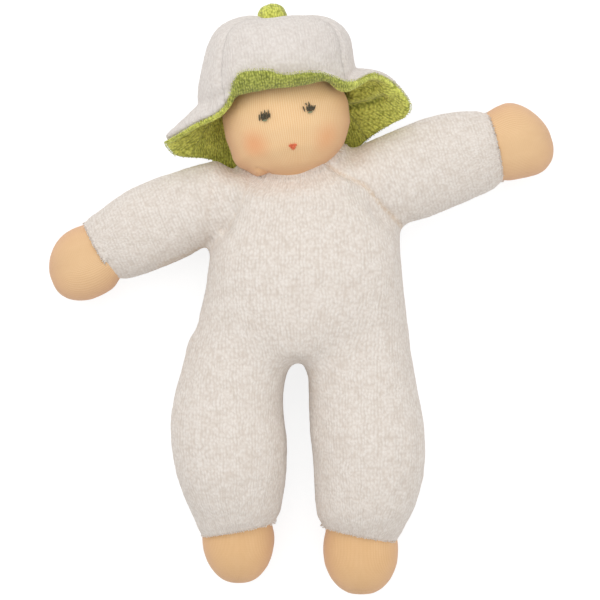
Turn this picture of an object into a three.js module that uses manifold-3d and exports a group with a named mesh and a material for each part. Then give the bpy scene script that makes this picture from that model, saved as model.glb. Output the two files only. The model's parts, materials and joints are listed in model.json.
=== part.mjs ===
// A stuffed rattle doll that lies on its back. Its terry suit is a trunk with sleeves and trouser legs,
// its hands, feet and head are cotton jersey, and it wears a flower hat of five petals with a lining.
// Wool fills it, and a flat drum with steel beads in the chest makes the rattle.
// Millimetres, +Z up. The doll lies on z = 0 with its face up and its head towards +Y, and its own left
// hand is on +X. The origin is the middle of the back, where it lies flat.
import * as THREE from "three";
import { mergeVertices } from "three/addons/utils/BufferGeometryUtils.js";
import Module from "manifold-3d";

const wasm = await Module();
wasm.setup();

// Cloth, and how the pieces meet
const terryWall = 2;
const jerseyWall = 0.8;
const seamGap = 0.3;
const jointGap = 0.8;
const pressedDepth = 0.5;
const cutRoom = 200;

// Trunk. Its shares are: along the length, shift sideways, half width, half depth, rise off the table.
const trunkLength = 75;
const trunkHalfWidth = 36;
const trunkHalfDepth = 20;
const trunkSquareness = 2.4;
const trunkSides = 24;
const trunkFillingSides = 12;
const trunkRings = 12;
const trunkShares = [
  [-0.32, -0.03, 1.1, 0.95, 0],
  [-0.23, 0, 1.06, 0.97, 0],
  [-0.09, 0.02, 0.99, 1.02, 0],
  [0.05, 0.045, 0.93, 1.05, 0],
  [0.19, 0.045, 0.9, 1.04, 0],
  [0.32, 0.05, 0.885, 0.99, 0],
  [0.43, 0.04, 0.85, 0.91, 0.08],
  [0.52, 0, 0.75, 0.8, 0.22],
  [0.59, -0.03, 0.62, 0.67, 0.42],
  [0.65, -0.04, 0.48, 0.55, 0.62],
];

// Limbs. A limb starts as a ball at its root, where it turns, and narrows to a cuff. The shares are:
// along the reach, then shift sideways, half width and half depth as shares of the root's radius.
// The palm, or the widest place of a foot, lies at palmAt, and the limb ends round at its reach.
const limbSides = 16;
const roomSides = 20;
const limbFillingSides = 8;
const limbRings = 6;
const ballRings = 4;
const palmRings = 3;
const endRings = 4;
const limbSquareness = 2.1;
const cuffDepth = 8;
const ballOpeningShare = 0.55;
const rootTurn = 60;
const shoulderHeight = 17;
const armSettleLength = 24;
const armReach = 63.5;
const armLeft = {
  x: 24.8,
  y: 38.3,
  height: shoulderHeight,
  heading: 16.7,
  radius: 15,
  reach: armReach,
  cuffAt: 44,
  settleLength: armSettleLength,
  palmAt: 52,
  palmHalfWidth: 12.4,
  palmHalfDepth: 10.9,
  palmShift: 1.4,
  tipShift: -1.6,
  shares: [
    [0, 0, 1, 1],
    [0.19, 0.02, 1.085, 0.98],
    [0.345, 0.085, 1.095, 0.94],
    [0.49, 0.12, 1.045, 0.89],
    [0.63, 0.1, 0.945, 0.81],
    [0.69, 0.093, 0.86, 0.77],
  ],
};
const armRight = {
  x: -27.4,
  y: 33.8,
  height: shoulderHeight,
  heading: 201.5,
  radius: 13.5,
  reach: armReach,
  cuffAt: 42,
  settleLength: armSettleLength,
  palmAt: 50,
  palmHalfWidth: 11.7,
  palmHalfDepth: 10.7,
  palmShift: 2.8,
  tipShift: 4.6,
  shares: [
    [0, 0, 1, 1],
    [0.25, -0.02, 1.085, 1.03],
    [0.425, -0.015, 1.09, 1],
    [0.535, 0.035, 1.035, 0.96],
    [0.66, 0.065, 0.89, 0.85],
  ],
};
const hipLine = -20;
const hipRadius = 18.1;
const hipHeight = hipRadius - pressedDepth;
const legLeft = {
  x: 20.2,
  y: hipLine,
  height: hipHeight,
  heading: 270,
  radius: hipRadius,
  reach: 80.2,
  cuffAt: 59.5,
  settleLength: hipRadius,
  palmAt: 66,
  palmHalfWidth: 12.9,
  palmHalfDepth: 11.8,
  palmShift: 0.6,
  tipShift: 0.8,
  shares: [
    [0, 0, 1, 1],
    [0.112, 0.05, 1.033, 1],
    [0.212, 0.12, 1.06, 0.99],
    [0.324, 0.182, 1.066, 0.98],
    [0.436, 0.193, 1.055, 0.97],
    [0.555, 0.144, 1.01, 0.93],
    [0.636, 0.1, 0.94, 0.88],
    [0.698, 0.055, 0.84, 0.79],
    [0.742, 0.028, 0.75, 0.71],
  ],
};
const legRight = {
  x: -21.2,
  y: hipLine,
  height: hipHeight,
  heading: 270,
  radius: hipRadius,
  reach: 76.4,
  cuffAt: 56.8,
  settleLength: hipRadius,
  palmAt: 62,
  palmHalfWidth: 12.7,
  palmHalfDepth: 11.6,
  palmShift: 0,
  tipShift: 0.3,
  shares: [
    [0, 0, 1, 1],
    [0.08, -0.09, 1, 1],
    [0.183, -0.165, 1.07, 0.99],
    [0.288, -0.165, 1.1, 0.98],
    [0.419, -0.133, 1.1, 0.97],
    [0.563, -0.094, 1, 0.93],
    [0.667, -0.044, 0.87, 0.83],
    [0.743, 0, 0.755, 0.73],
  ],
};

// Head and neck, round the neck's axis. Heights are measured along it from the middle of the head.
const headX = -4.6;
const headY = 61.2;
const headTilt = 8;
const headRadius = 21.8;
const headTop = 21;
const headBottom = 20.6;
const headSides = 24;
const headFillingSides = 12;
const headRings = 9;
const neckRadius = 6;
const neckEnd = -27;
const tieHeight = -21.8;
const tieThickness = 0.6;
const tieSides = 6;

// Embroidered face: places beside and above the middle of the head
const stitchHeight = 0.7;
const eyeHalfWidth = 2.3;
const eyeHalfHeight = 2;
const eyePlaces = { eye_right: [-7.2, 0.1], eye_left: [7.8, 0.7] };
const mouthPlace = [0.8, -11];
const mouthHalfWidth = 1.5;
const mouthHalfHeight = 1.4;
const stitchSides = 14;

// Hat. Its crown bulges over a band that is high over the forehead and low at the nape, and five petals
// spread from the band. The crown's shares are: radius, then height from the band to the crown's top.
const hatWall = 1.8;
const hatSegments = 30;
const goreCount = 5;
const goreFullnessShare = 0.02;
const crownHalfWidth = 27.4;
const crownHalfDepth = 26.8;
const crownTop = 34.2;
const crownLean = 0.08;
const crownShift = 1;
const crownNotch = 3;
const crownNotchTurn = 22;
const crownNotchShare = 0.35;
const bandHeight = 5;
const bandRise = 8;
const bandSideRise = 2;
const bandSideRoom = 1.4;
const lipDepth = 4;
const petalDrop = 2.5;
const petalFlareShare = 0.25;
const petalRings = 4;
const crownShares = [
  [0.12, 0.86],
  [0.28, 0.93],
  [0.5, 1],
  [0.73, 0.93],
  [0.89, 0.71],
  [0.975, 0.37],
  [0.98, 0.17],
];
// Rim of the petals from the forehead round by the doll's left side: shares of the crown's half width
// for the distance from the axis, and of the crown's height for the height.
const rimShares = [
  [1.02, 0.4],
  [1.0, 0.37],
  [0.94, 0.28],
  [1.01, 0.22],
  [1.14, 0.3],
  [1.5, 0.15],
  [1.7, -0.03],
  [1.15, -0.24],
  [0.985, -0.35],
  [0.95, -0.39],
  [0.94, -0.35],
  [0.95, -0.39],
  [0.985, -0.33],
  [1.14, -0.22],
  [1.5, -0.15],
  [1.66, -0.08],
  [1.3, 0.02],
  [1.03, 0.09],
  [0.93, 0.29],
  [1.02, 0.47],
];
const stemShares = [
  [0, 0],
  [0.55, 0.03],
  [0.95, 0.27],
  [1, 0.5],
  [0.83, 0.82],
  [0.43, 0.97],
  [0, 1],
];
const stemRadius = 4.7;
const stemLength = 7.8;
const stemSides = 16;
const wadRadius = 17;
const wadRings = 5;

// Room that the turning head and hat need above the trunk: shares of the crown's half width and height
const collarShares = [
  [0.99, -0.41],
  [1.2, -0.34],
  [1.6, -0.24],
];

// Rattle drum in the chest, and the steel beads that lie in it
const drumX = 1;
const drumY = 8;
const drumHeight = 20.5;
const drumRadius = 14;
const drumDepth = 14;
const drumWall = 1.2;
const drumSides = 24;
const lidDepth = 5;
const spigotWall = 0.9;
const spigotLength = 1.5;
const beadRadius = 2.3;
const beadRing = 8;
const beadCount = 6;
const beadSegments = 9;
const beadRings = 6;

const degrees = Math.PI / 180;
const lerp = THREE.MathUtils.lerp;
const upward = new THREE.Vector3(0, 0, 1);

// Makes a closed geometry a solid that can be joined and cut.
function solidOf(geometry) {
  const bare = geometry.clone();
  bare.deleteAttribute("normal");
  bare.deleteAttribute("uv");
  const merged = mergeVertices(bare);
  const corners = merged.index.array;
  const faces = [];
  for (let i = 0; i < corners.length; i += 3) {
    const [a, b, c] = corners.slice(i, i + 3);
    if (a !== b && b !== c && c !== a) faces.push(a, b, c);
  }
  const vertProperties = new Float32Array(merged.attributes.position.array);
  return new wasm.Manifold(new wasm.Mesh({ numProp: 3, vertProperties, triVerts: new Uint32Array(faces) }));
}

// Turns a solid back into a geometry that a mesh can show.
function geometryOf(solid) {
  const { vertProperties, triVerts } = solid.getMesh();
  const geometry = new THREE.BufferGeometry();
  geometry.setAttribute("position", new THREE.BufferAttribute(vertProperties, 3));
  geometry.setIndex(new THREE.BufferAttribute(triVerts, 1));
  geometry.computeVertexNormals();
  return geometry;
}

// A closed skin through rings that hold equally many points. Each four-cornered face is split along its
// shorter diagonal, and each end closes on its ring's middle.
function skinOf(rings) {
  const count = rings[0].length;
  const points = rings.flat();
  const faces = [];
  for (let i = 0; i + 1 < rings.length; i += 1) {
    for (let j = 0; j < count; j += 1) {
      const a = i * count + j;
      const b = i * count + ((j + 1) % count);
      const c = b + count;
      const d = a + count;
      const split = points[a].distanceTo(points[c]) < points[b].distanceTo(points[d]);
      faces.push(...(split ? [a, b, c, a, c, d] : [a, b, d, b, c, d]));
    }
  }
  const first = points.push(middleOf(rings[0])) - 1;
  const last = points.push(middleOf(rings[rings.length - 1])) - 1;
  const lastRing = (rings.length - 1) * count;
  for (let j = 0; j < count; j += 1) {
    const next = (j + 1) % count;
    faces.push(first, next, j, last, lastRing + j, lastRing + next);
  }
  const geometry = new THREE.BufferGeometry().setFromPoints(points);
  geometry.setIndex(faces);
  return geometry;
}

function middleOf(ring) {
  const sum = ring.reduce((total, point) => total.add(point), new THREE.Vector3());
  return sum.divideScalar(ring.length);
}

// Reads a table at any place along its first column, on a smooth curve through its rows.
function readTable(rows, at) {
  const end = rows.length - 1;
  let low = 0;
  while (low < end - 1 && rows[low + 1][0] < at) low += 1;
  const span = rows[low + 1][0] - rows[low][0];
  const t = THREE.MathUtils.clamp((at - rows[low][0]) / span, 0, 1);
  const slope = (row, column) => {
    const before = rows[Math.max(row - 1, 0)];
    const after = rows[Math.min(row + 1, end)];
    return (span * (after[column] - before[column])) / (after[0] - before[0]);
  };
  const bend = t * t * (3 - 2 * t);
  return rows[low].slice(1).map((value, index) => {
    const column = index + 1;
    const leave = t * (1 - t) * (1 - t) * slope(low, column);
    const arrive = t * t * (1 - t) * slope(low + 1, column);
    return lerp(value, rows[low + 1][column], bend) + leave - arrive;
  });
}

// A rounded section: point number k of a ring, as shares of its half width and half depth.
function roundShare(k, sides, squareness) {
  const angle = (2 * Math.PI * (k + sides / 4)) / sides;
  const round = (value) => Math.sign(value) * Math.abs(value) ** (2 / squareness);
  return [round(-Math.cos(angle)), round(-Math.sin(angle))];
}

// A turned solid: its profile runs from the axis below, out and up, to the axis above.
function latheOf(profile, sides) {
  const points = profile.map(([radius, height]) => new THREE.Vector2(radius, height));
  return new THREE.LatheGeometry(points, sides);
}

const belowTable = solidOf(
  new THREE.BoxGeometry(2 * cutRoom, 2 * cutRoom, cutRoom).translate(0, 0, -cutRoom / 2),
);

// Trunk

function trunkRing(at, inset, sides) {
  const [shift, width, depth, rise] = readTable(trunkShares, at / trunkLength);
  const halfWidth = width * trunkHalfWidth - inset;
  const halfDepth = depth * trunkHalfDepth;
  const middle = halfDepth - pressedDepth + rise * trunkHalfDepth;
  return Array.from({ length: sides }, (_, k) => {
    const [aside, high] = roundShare(k, sides, trunkSquareness);
    const x = shift * trunkHalfWidth - aside * halfWidth;
    return new THREE.Vector3(x, at, middle + high * (halfDepth - inset));
  });
}

function trunkForm(inset, sides) {
  const low = trunkShares[0][0] * trunkLength + inset;
  const high = trunkShares[trunkShares.length - 1][0] * trunkLength - inset;
  const rings = Array.from({ length: trunkRings }, (_, k) => {
    return trunkRing(lerp(low, high, k / (trunkRings - 1)), inset, sides);
  });
  return solidOf(skinOf(rings)).subtract(belowTable);
}

// Limbs

const alongOf = (limb) => {
  return new THREE.Vector3(Math.cos(limb.heading * degrees), Math.sin(limb.heading * degrees), 0);
};
const rootOf = (limb) => new THREE.Vector3(limb.x, limb.y, limb.height);

// Size of the sleeve or trouser leg at a distance from the root. It is a ball before the root.
function sleeveAt(limb, at, inset) {
  if (at < 0) {
    const size = Math.sqrt(Math.max((limb.radius - inset) ** 2 - at ** 2, 0));
    return { shift: 0, halfWidth: size, halfDepth: size, middle: limb.height };
  }
  const [shift, width, depth] = readTable(limb.shares, at / limb.reach);
  const settled = THREE.MathUtils.smoothstep(at, 0, limb.settleLength);
  const halfDepth = depth * limb.radius;
  return {
    shift: shift * limb.radius,
    halfWidth: width * limb.radius - inset,
    halfDepth: halfDepth - inset,
    middle: lerp(limb.height, halfDepth - pressedDepth, settled),
  };
}

// Size of the hand or foot: a neck that lies inside the cuff, and a rounded end that swells out of it.
function handAt(limb, at, inset) {
  const neck = sleeveAt(limb, Math.min(at, limb.cuffAt), terryWall + seamGap + inset);
  if (at <= limb.cuffAt + seamGap) return neck;
  const swollen = {
    shift: limb.palmShift,
    halfWidth: limb.palmHalfWidth - inset,
    halfDepth: limb.palmHalfDepth - inset,
    middle: limb.palmHalfDepth - pressedDepth,
  };
  if (at < limb.palmAt) {
    const from = (limb.palmAt - at) / (limb.palmAt - limb.cuffAt);
    const swell = Math.sqrt(1 - from ** 2);
    return Object.fromEntries(Object.keys(neck).map((key) => [key, lerp(neck[key], swollen[key], swell)]));
  }
  const past = (at - limb.palmAt) / (limb.reach - limb.palmAt - inset);
  const left = Math.sqrt(Math.max(1 - past ** 2, 0));
  return {
    shift: lerp(limb.palmShift, limb.tipShift, past),
    halfWidth: swollen.halfWidth * left,
    halfDepth: swollen.halfDepth * left,
    middle: swollen.middle,
  };
}

function limbLoft(limb, places, sides, sizeAt) {
  const along = alongOf(limb);
  const side = upward.clone().cross(along);
  const rings = places.map((at) => {
    const { shift, halfWidth, halfDepth, middle } = sizeAt(at);
    return Array.from({ length: sides }, (_, k) => {
      const [aside, high] = roundShare(k, sides, limbSquareness);
      const point = new THREE.Vector3(limb.x, limb.y, middle + high * halfDepth);
      return point.addScaledVector(along, at).addScaledVector(side, shift + aside * halfWidth);
    });
  });
  return skinOf(rings);
}

// Places of the rings: over the ball, along the sleeve, along the neck and palm, and round the end.
const ballPlaces = (radius, opening) => {
  const steps = Array.from({ length: ballRings }, (_, k) => (k + 1) / (ballRings + 1));
  return steps.map((step) => -radius * Math.cos((step * Math.PI) / 2)).filter((at) => at > -opening);
};
const neckStart = (limb) => limb.cuffAt - cuffDepth;
const sleevePlaces = (limb) => {
  return Array.from({ length: limbRings }, (_, k) => lerp(0, neckStart(limb), k / (limbRings - 1)));
};
const endPlaces = (limb, inset) => {
  const reach = limb.reach - limb.palmAt - inset;
  const steps = Array.from({ length: endRings }, (_, k) => (k + 1) / (endRings + 1));
  return steps.map((step) => limb.palmAt + reach * Math.sin((step * Math.PI) / 2));
};
const palmPlaces = (limb) => {
  const swell = limb.palmAt - limb.cuffAt;
  const steps = Array.from({ length: palmRings }, (_, k) => (k + 1) / palmRings);
  return steps.map((step) => limb.palmAt - swell * Math.cos((step * Math.PI) / 2));
};

// The outer form of the limb grown by the joint's gap and turned up about the root.
function sweptForm(limb, angle) {
  const places = [...sleevePlaces(limb), limb.cuffAt];
  const geometry = limbLoft(limb, places, limbSides, (at) => sleeveAt(limb, at, -jointGap));
  const root = rootOf(limb);
  geometry.translate(-root.x, -root.y, -root.z);
  geometry.applyMatrix4(new THREE.Matrix4().makeRotationAxis(alongOf(limb).cross(upward), angle * degrees));
  geometry.translate(root.x, root.y, root.z);
  return solidOf(geometry);
}

// The room that a limb needs in the trunk: a ball round its root, and the limb lying and turned up.
function limbRoom(limb) {
  const ball = new THREE.SphereGeometry(limb.radius + jointGap, roomSides, roomSides / 2);
  const root = rootOf(limb);
  const room = solidOf(ball.rotateX(Math.PI / 2).translate(root.x, root.y, root.z));
  return [0, rootTurn / 2, rootTurn].reduce((joined, angle) => joined.add(sweptForm(limb, angle)), room);
}

function sleeveSolid(limb) {
  const opening = limb.radius * ballOpeningShare;
  const outer = [-opening, ...ballPlaces(limb.radius, opening), ...sleevePlaces(limb), limb.cuffAt];
  const inner = [...ballPlaces(limb.radius - terryWall, limb.radius), ...sleevePlaces(limb), limb.cuffAt];
  const outside = limbLoft(limb, outer, limbSides, (at) => sleeveAt(limb, at, 0));
  const inside = limbLoft(limb, [...inner, limb.reach], limbSides, (at) => sleeveAt(limb, at, terryWall));
  return solidOf(outside).subtract(solidOf(inside)).subtract(belowTable);
}

function handSolid(limb) {
  const neckAt = neckStart(limb);
  const places = [neckAt, limb.cuffAt + seamGap, ...palmPlaces(limb)];
  const outside = [...places, ...endPlaces(limb, 0)];
  const inside = [neckAt - cuffDepth, ...places, ...endPlaces(limb, jerseyWall)];
  const outer = solidOf(limbLoft(limb, outside, limbSides, (at) => handAt(limb, at, 0)));
  const inner = solidOf(limbLoft(limb, inside, limbSides, (at) => handAt(limb, at, jerseyWall)));
  return outer.subtract(inner).subtract(belowTable);
}

function fillingSolid(limb) {
  const sleeveInset = terryWall + seamGap;
  const handInset = jerseyWall + seamGap;
  const neckAt = neckStart(limb);
  const shoulder = neckAt - seamGap;
  const places = [
    ...ballPlaces(limb.radius - sleeveInset, limb.radius),
    ...sleevePlaces(limb).slice(0, -1),
    shoulder,
    neckAt,
    limb.cuffAt + seamGap,
    ...palmPlaces(limb),
    ...endPlaces(limb, handInset),
  ];
  const sizeAt = (at) => (at <= shoulder ? sleeveAt(limb, at, sleeveInset) : handAt(limb, at, handInset));
  return solidOf(limbLoft(limb, places, limbFillingSides, sizeAt)).subtract(belowTable);
}

// Head: its frame has the neck's axis upright as Y and the face towards Z.

const headHeight = crownHalfDepth * (1 - goreFullnessShare) - seamGap;
const headFrame = new THREE.Matrix4()
  .makeRotationZ(headTilt * degrees)
  .setPosition(headX, headY, headHeight);

const headReach = (height) => (height > 0 ? headTop : headBottom);
const headRadiusAt = (height) => headRadius * Math.sqrt(Math.max(1 - (height / headReach(height)) ** 2, 0));

// Half profile of the head and neck from the neck's end up to the crown of the head.
function headProfile(inset) {
  const radius = headRadius - inset;
  const neck = neckRadius - inset;
  const throat = Math.asin(neck / radius);
  const turns = Array.from({ length: headRings }, (_, k) => lerp(throat, Math.PI, k / (headRings - 1)));
  const round = turns.map((turn) => {
    const reach = turn > Math.PI / 2 ? headTop : headBottom;
    return [radius * Math.sin(turn), -(reach - inset) * Math.cos(turn)];
  });
  round[round.length - 1][0] = 0;
  return [[neck, neckEnd], ...round];
}

function headSkinSolid() {
  const outside = headProfile(0);
  const inside = headProfile(jerseyWall).reverse();
  return solidOf(latheOf([...outside, ...inside, outside[0]], headSides).applyMatrix4(headFrame));
}

function headBallSolid() {
  const profile = headProfile(jerseyWall + seamGap);
  return solidOf(latheOf([[0, neckEnd], ...profile], headFillingSides).applyMatrix4(headFrame));
}

function neckTieSolid() {
  const radius = neckRadius + seamGap + tieThickness;
  const ring = new THREE.TorusGeometry(radius, tieThickness, tieSides, headSides).rotateX(Math.PI / 2);
  return solidOf(ring.translate(0, tieHeight, 0).applyMatrix4(headFrame));
}

// A stitched patch: the part of a thin layer over the skin that an outline facing the front cuts out.
function stitchSolid([aside, high], outline) {
  const layer = (height) => {
    return solidOf(latheOf([[0, neckEnd], ...headProfile(-height)], headSides).applyMatrix4(headFrame));
  };
  const patch = new THREE.ExtrudeGeometry(outline, { depth: cutRoom, bevelEnabled: false });
  const prism = solidOf(patch.translate(aside, high, 0).applyMatrix4(headFrame));
  return layer(seamGap + stitchHeight).subtract(layer(seamGap)).intersect(prism);
}

function eyeOutline() {
  const angles = Array.from({ length: stitchSides }, (_, k) => (2 * Math.PI * k) / stitchSides);
  return new THREE.Shape(
    angles.map((turn) => new THREE.Vector2(eyeHalfWidth * Math.cos(turn), eyeHalfHeight * Math.sin(turn))),
  );
}

function mouthOutline() {
  const dip = mouthHalfHeight / 2;
  const corners = [
    [0, -mouthHalfHeight],
    [mouthHalfWidth, 0],
    [mouthHalfWidth / 2, mouthHalfHeight],
    [0, dip],
    [-mouthHalfWidth / 2, mouthHalfHeight],
    [-mouthHalfWidth, 0],
  ];
  return new THREE.Shape(corners.map(([x, y]) => new THREE.Vector2(x, y)));
}

// Hat, in the head's frame. An angle of zero is over the forehead.

const bandHeightAt = (angle) => {
  return bandHeight + bandRise * Math.cos(angle) + bandSideRise * Math.sin(angle) ** 2;
};
const hatThickness = 2 * hatWall + seamGap;
const bandRadiusAt = (angle) => {
  const headRadiusThere = headRadiusAt(Math.max(bandHeightAt(angle) - lipDepth, 0));
  return headRadiusThere + hatThickness + seamGap + bandSideRoom * Math.sin(angle) ** 2;
};
const crownRadiusAt = (angle) => {
  const fullness = 1 + goreFullnessShare * Math.cos(goreCount * angle);
  const halfWidth = lerp(crownHalfDepth, crownHalfWidth, Math.sin(angle) ** 2);
  return fullness * halfWidth - crownShift * Math.sin(angle);
};

// How far the crown sinks: it leans to the doll's left, and has a notch in front of the stem.
function crownSinkAt(angle, radiusShare) {
  const turn = Math.atan2(Math.sin(angle), Math.cos(angle)) / degrees;
  const notch = crownNotch * Math.exp(-((turn / crownNotchTurn) ** 2));
  const begun = Math.min((radiusShare - crownShares[0][0]) / crownNotchShare, 1);
  return begun * (crownLean * radiusShare * crownRadiusAt(angle) * Math.sin(angle) + notch);
}

// Outer surface of the hat at an angle: from the middle of the crown down to the band, then out to the rim.
function hatProfile(angle) {
  const crown = crownShares.map(([radiusShare, heightShare]) => {
    const band = lerp(bandHeight, bandHeightAt(angle), radiusShare);
    const height = lerp(band, crownTop, heightShare) - heightShare * crownSinkAt(angle, radiusShare);
    return new THREE.Vector2(radiusShare * crownRadiusAt(angle), height);
  });
  const band = new THREE.Vector2(bandRadiusAt(angle), bandHeightAt(angle));
  const rim = rimAt(angle);
  const bend = new THREE.Vector2(lerp(band.x, rim.x, petalFlareShare), band.y - petalDrop);
  const petal = new THREE.QuadraticBezierCurve(band, bend, rim);
  const steps = Array.from({ length: petalRings + 1 }, (_, k) => k / petalRings);
  return [...crown, ...steps.map((t) => petal.getPoint(t))];
}

function rimAt(angle) {
  const count = rimShares.length;
  const rows = [-2, -1, ...rimShares.keys(), count, count + 1].map((k) => {
    return [k / count, ...rimShares[(k + count) % count]];
  });
  const [radiusShare, heightShare] = readTable(rows, angle / (2 * Math.PI));
  return new THREE.Vector2(radiusShare * crownHalfWidth, heightShare * crownTop);
}

// Rings of the hat's surface, laid the given depth under its outer surface.
const hatAngles = Array.from({ length: hatSegments }, (_, k) => (2 * Math.PI * k) / hatSegments);
const hatGrid = hatAngles.map((angle) => {
  return hatProfile(angle).map(({ x, y }) => {
    return new THREE.Vector3(x * Math.sin(angle), y, x * Math.cos(angle));
  });
});
const hatNormals = hatGrid.map((line, i) => {
  const next = hatGrid[(i + 1) % hatSegments];
  const previous = hatGrid[(i + hatSegments - 1) % hatSegments];
  return line.map((point, j) => {
    const down = line[Math.min(j + 1, line.length - 1)].clone().sub(line[Math.max(j - 1, 0)]);
    return next[j].clone().sub(previous[j]).cross(down).normalize().negate();
  });
});
function hatRings(depth) {
  return hatGrid[0].map((_, j) => {
    return hatGrid.map((line, i) => line[j].clone().addScaledVector(hatNormals[i][j], -depth));
  });
}

function hatLayer(outerDepth, innerDepth) {
  const rings = [...hatRings(innerDepth), ...hatRings(outerDepth).reverse()];
  return solidOf(skinOf(rings).applyMatrix4(headFrame)).subtract(belowTable);
}

// Height of the dip in the middle of the crown, where the stem stands.
const crownDip = hatProfile(0)[0].y;

function stemSolid() {
  const base = crownDip + seamGap;
  const profile = stemShares.map(([radius, height]) => [radius * stemRadius, base + height * stemLength]);
  return solidOf(latheOf(profile, stemSides).applyMatrix4(headFrame));
}

// Wadding: a lens between the top of the head and the lining of the crown.
function waddingSolid() {
  const ceiling = crownDip - hatThickness - seamGap;
  const steps = Array.from({ length: wadRings }, (_, k) => k / (wadRings - 1));
  const bottom = steps.map((step) => {
    const radius = step * wadRadius;
    const share = radius / (headRadius + seamGap);
    return [radius, (headTop + seamGap) * Math.sqrt(1 - share ** 2) + seamGap];
  });
  return solidOf(latheOf([...bottom, [wadRadius, ceiling], [0, ceiling]], headSides).applyMatrix4(headFrame));
}

// What the head, neck and hat need clear of the trunk as they turn: it is cut out of the trunk.
function headRoom() {
  const throat = neckRadius + jointGap;
  const tieRoom = neckRadius + seamGap + 2 * tieThickness + jointGap;
  const tieBelow = tieHeight - tieThickness - jointGap;
  const steps = Array.from({ length: headRings }, (_, k) => k / (headRings - 1));
  const collar = collarShares.map(([radius, height]) => [radius * crownHalfWidth, height * crownTop]);
  const grown = headRadius + jointGap;
  const cupAt = (radius) => -(headBottom + jointGap) * Math.sqrt(1 - (radius / grown) ** 2);
  const cupEnd = grown * Math.sqrt(1 - (collar[0][1] / (headBottom + jointGap)) ** 2);
  const cup = steps.map((step) => {
    const radius = lerp(tieRoom, cupEnd, step);
    return [radius, cupAt(radius)];
  });
  const profile = [
    [0, neckEnd - jointGap],
    [throat, neckEnd - jointGap],
    [throat, tieBelow],
    [tieRoom, tieBelow],
    ...cup,
    ...collar,
    [collar[2][0], cutRoom],
    [0, cutRoom],
  ];
  return solidOf(latheOf(profile, headSides).applyMatrix4(headFrame));
}

// What the legs need clear in front of and behind the hip line as they fold up: a wedge across the doll.
function hipRoom() {
  const turn = rootTurn * degrees;
  const wedge = new THREE.Shape([
    new THREE.Vector2(jointGap, -cutRoom),
    new THREE.Vector2(jointGap, 0),
    new THREE.Vector2(-cutRoom * Math.cos(turn), cutRoom * Math.sin(turn)),
    new THREE.Vector2(-cutRoom, cutRoom),
    new THREE.Vector2(-cutRoom, -cutRoom),
  ]);
  const prism = new THREE.ExtrudeGeometry(wedge, { depth: 2 * cutRoom, bevelEnabled: false });
  prism.translate(0, 0, -cutRoom).rotateX(Math.PI / 2).rotateZ(Math.PI / 2);
  return solidOf(prism.translate(0, hipLine, hipHeight));
}

// Rattle drum: a cup, and a lid whose spigot snaps inside it.

const drumFrame = new THREE.Matrix4()
  .makeRotationX(Math.PI / 2)
  .setPosition(drumX, drumY, drumHeight - drumDepth / 2);
const cupDepth = drumDepth - lidDepth;

function drumBaseSolid() {
  const bore = drumRadius - drumWall;
  const profile = [
    [0, 0],
    [drumRadius, 0],
    [drumRadius, cupDepth],
    [bore, cupDepth],
    [bore, drumWall],
    [0, drumWall],
  ];
  return solidOf(latheOf(profile, drumSides).applyMatrix4(drumFrame));
}

function drumLidSolid() {
  const bore = drumRadius - drumWall;
  const spigot = bore - seamGap;
  const low = cupDepth + seamGap;
  const tip = cupDepth - spigotLength;
  const profile = [
    [0, drumDepth - drumWall],
    [spigot - spigotWall, drumDepth - drumWall],
    [spigot - spigotWall, tip],
    [spigot, tip],
    [spigot, low],
    [drumRadius, low],
    [drumRadius, drumDepth],
    [0, drumDepth],
  ];
  return solidOf(latheOf(profile, drumSides).applyMatrix4(drumFrame));
}

const beadHeight = drumHeight - drumDepth / 2 + drumWall + seamGap + beadRadius;

function beadPlace(index) {
  if (index === 0) return [drumX, drumY, beadHeight];
  const turn = (2 * Math.PI * index) / (beadCount - 1);
  return [drumX + beadRing * Math.cos(turn), drumY + beadRing * Math.sin(turn), beadHeight];
}

// Fillings of the trunk: a front and a back half, with a pocket for the drum between them.
function drumPocket() {
  const radius = drumRadius + seamGap;
  const depth = drumDepth + 2 * seamGap;
  const pocket = new THREE.CylinderGeometry(radius, radius, depth, drumSides);
  return solidOf(pocket.rotateX(Math.PI / 2).translate(drumX, drumY, drumHeight));
}

function halfSpace(side) {
  const block = new THREE.BoxGeometry(2 * cutRoom, 2 * cutRoom, cutRoom);
  return solidOf(block.translate(0, 0, drumHeight + (side * (cutRoom + seamGap)) / 2));
}

const limbs = { arm_left: armLeft, arm_right: armRight, leg_left: legLeft, leg_right: legRight };
const turningRoom = Object.values(limbs)
  .map(limbRoom)
  .reduce((joined, room) => joined.add(room), headRoom().add(hipRoom()));
const trunkCover = trunkForm(0, trunkSides).subtract(trunkForm(terryWall, trunkSides)).subtract(turningRoom);
const trunkInside = trunkForm(terryWall + seamGap, trunkFillingSides);
const trunkFilling = trunkInside.subtract(turningRoom).subtract(drumPocket());

// Materials, and the doll put together

const finish = (color, roughness, metalness = 0) => {
  return new THREE.MeshStandardMaterial({ color, roughness, metalness });
};
const terryCream = finish(0xeae2da, 0.95);
const terryGreen = finish(0xa9b93b, 0.95);
const jerseyFace = finish(0xf3cfa4, 0.85);
const jerseyHands = finish(0xf1c48d, 0.85);
const wool = finish(0xf3ecdd, 0.98);
const threadEye = finish(0x4c5a4c, 0.6);
const threadMouth = finish(0xe8663d, 0.6);
const threadTie = finish(0xe9dcc6, 0.7);
const plastic = finish(0xf4f4f0, 0.4);
const steel = finish(0xb9bcc0, 0.25, 1);

const doll = new THREE.Group();
function addPiece(parent, name, solid, material) {
  const mesh = new THREE.Mesh(geometryOf(solid), material);
  mesh.name = name;
  parent.add(mesh);
  return mesh;
}

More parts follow.
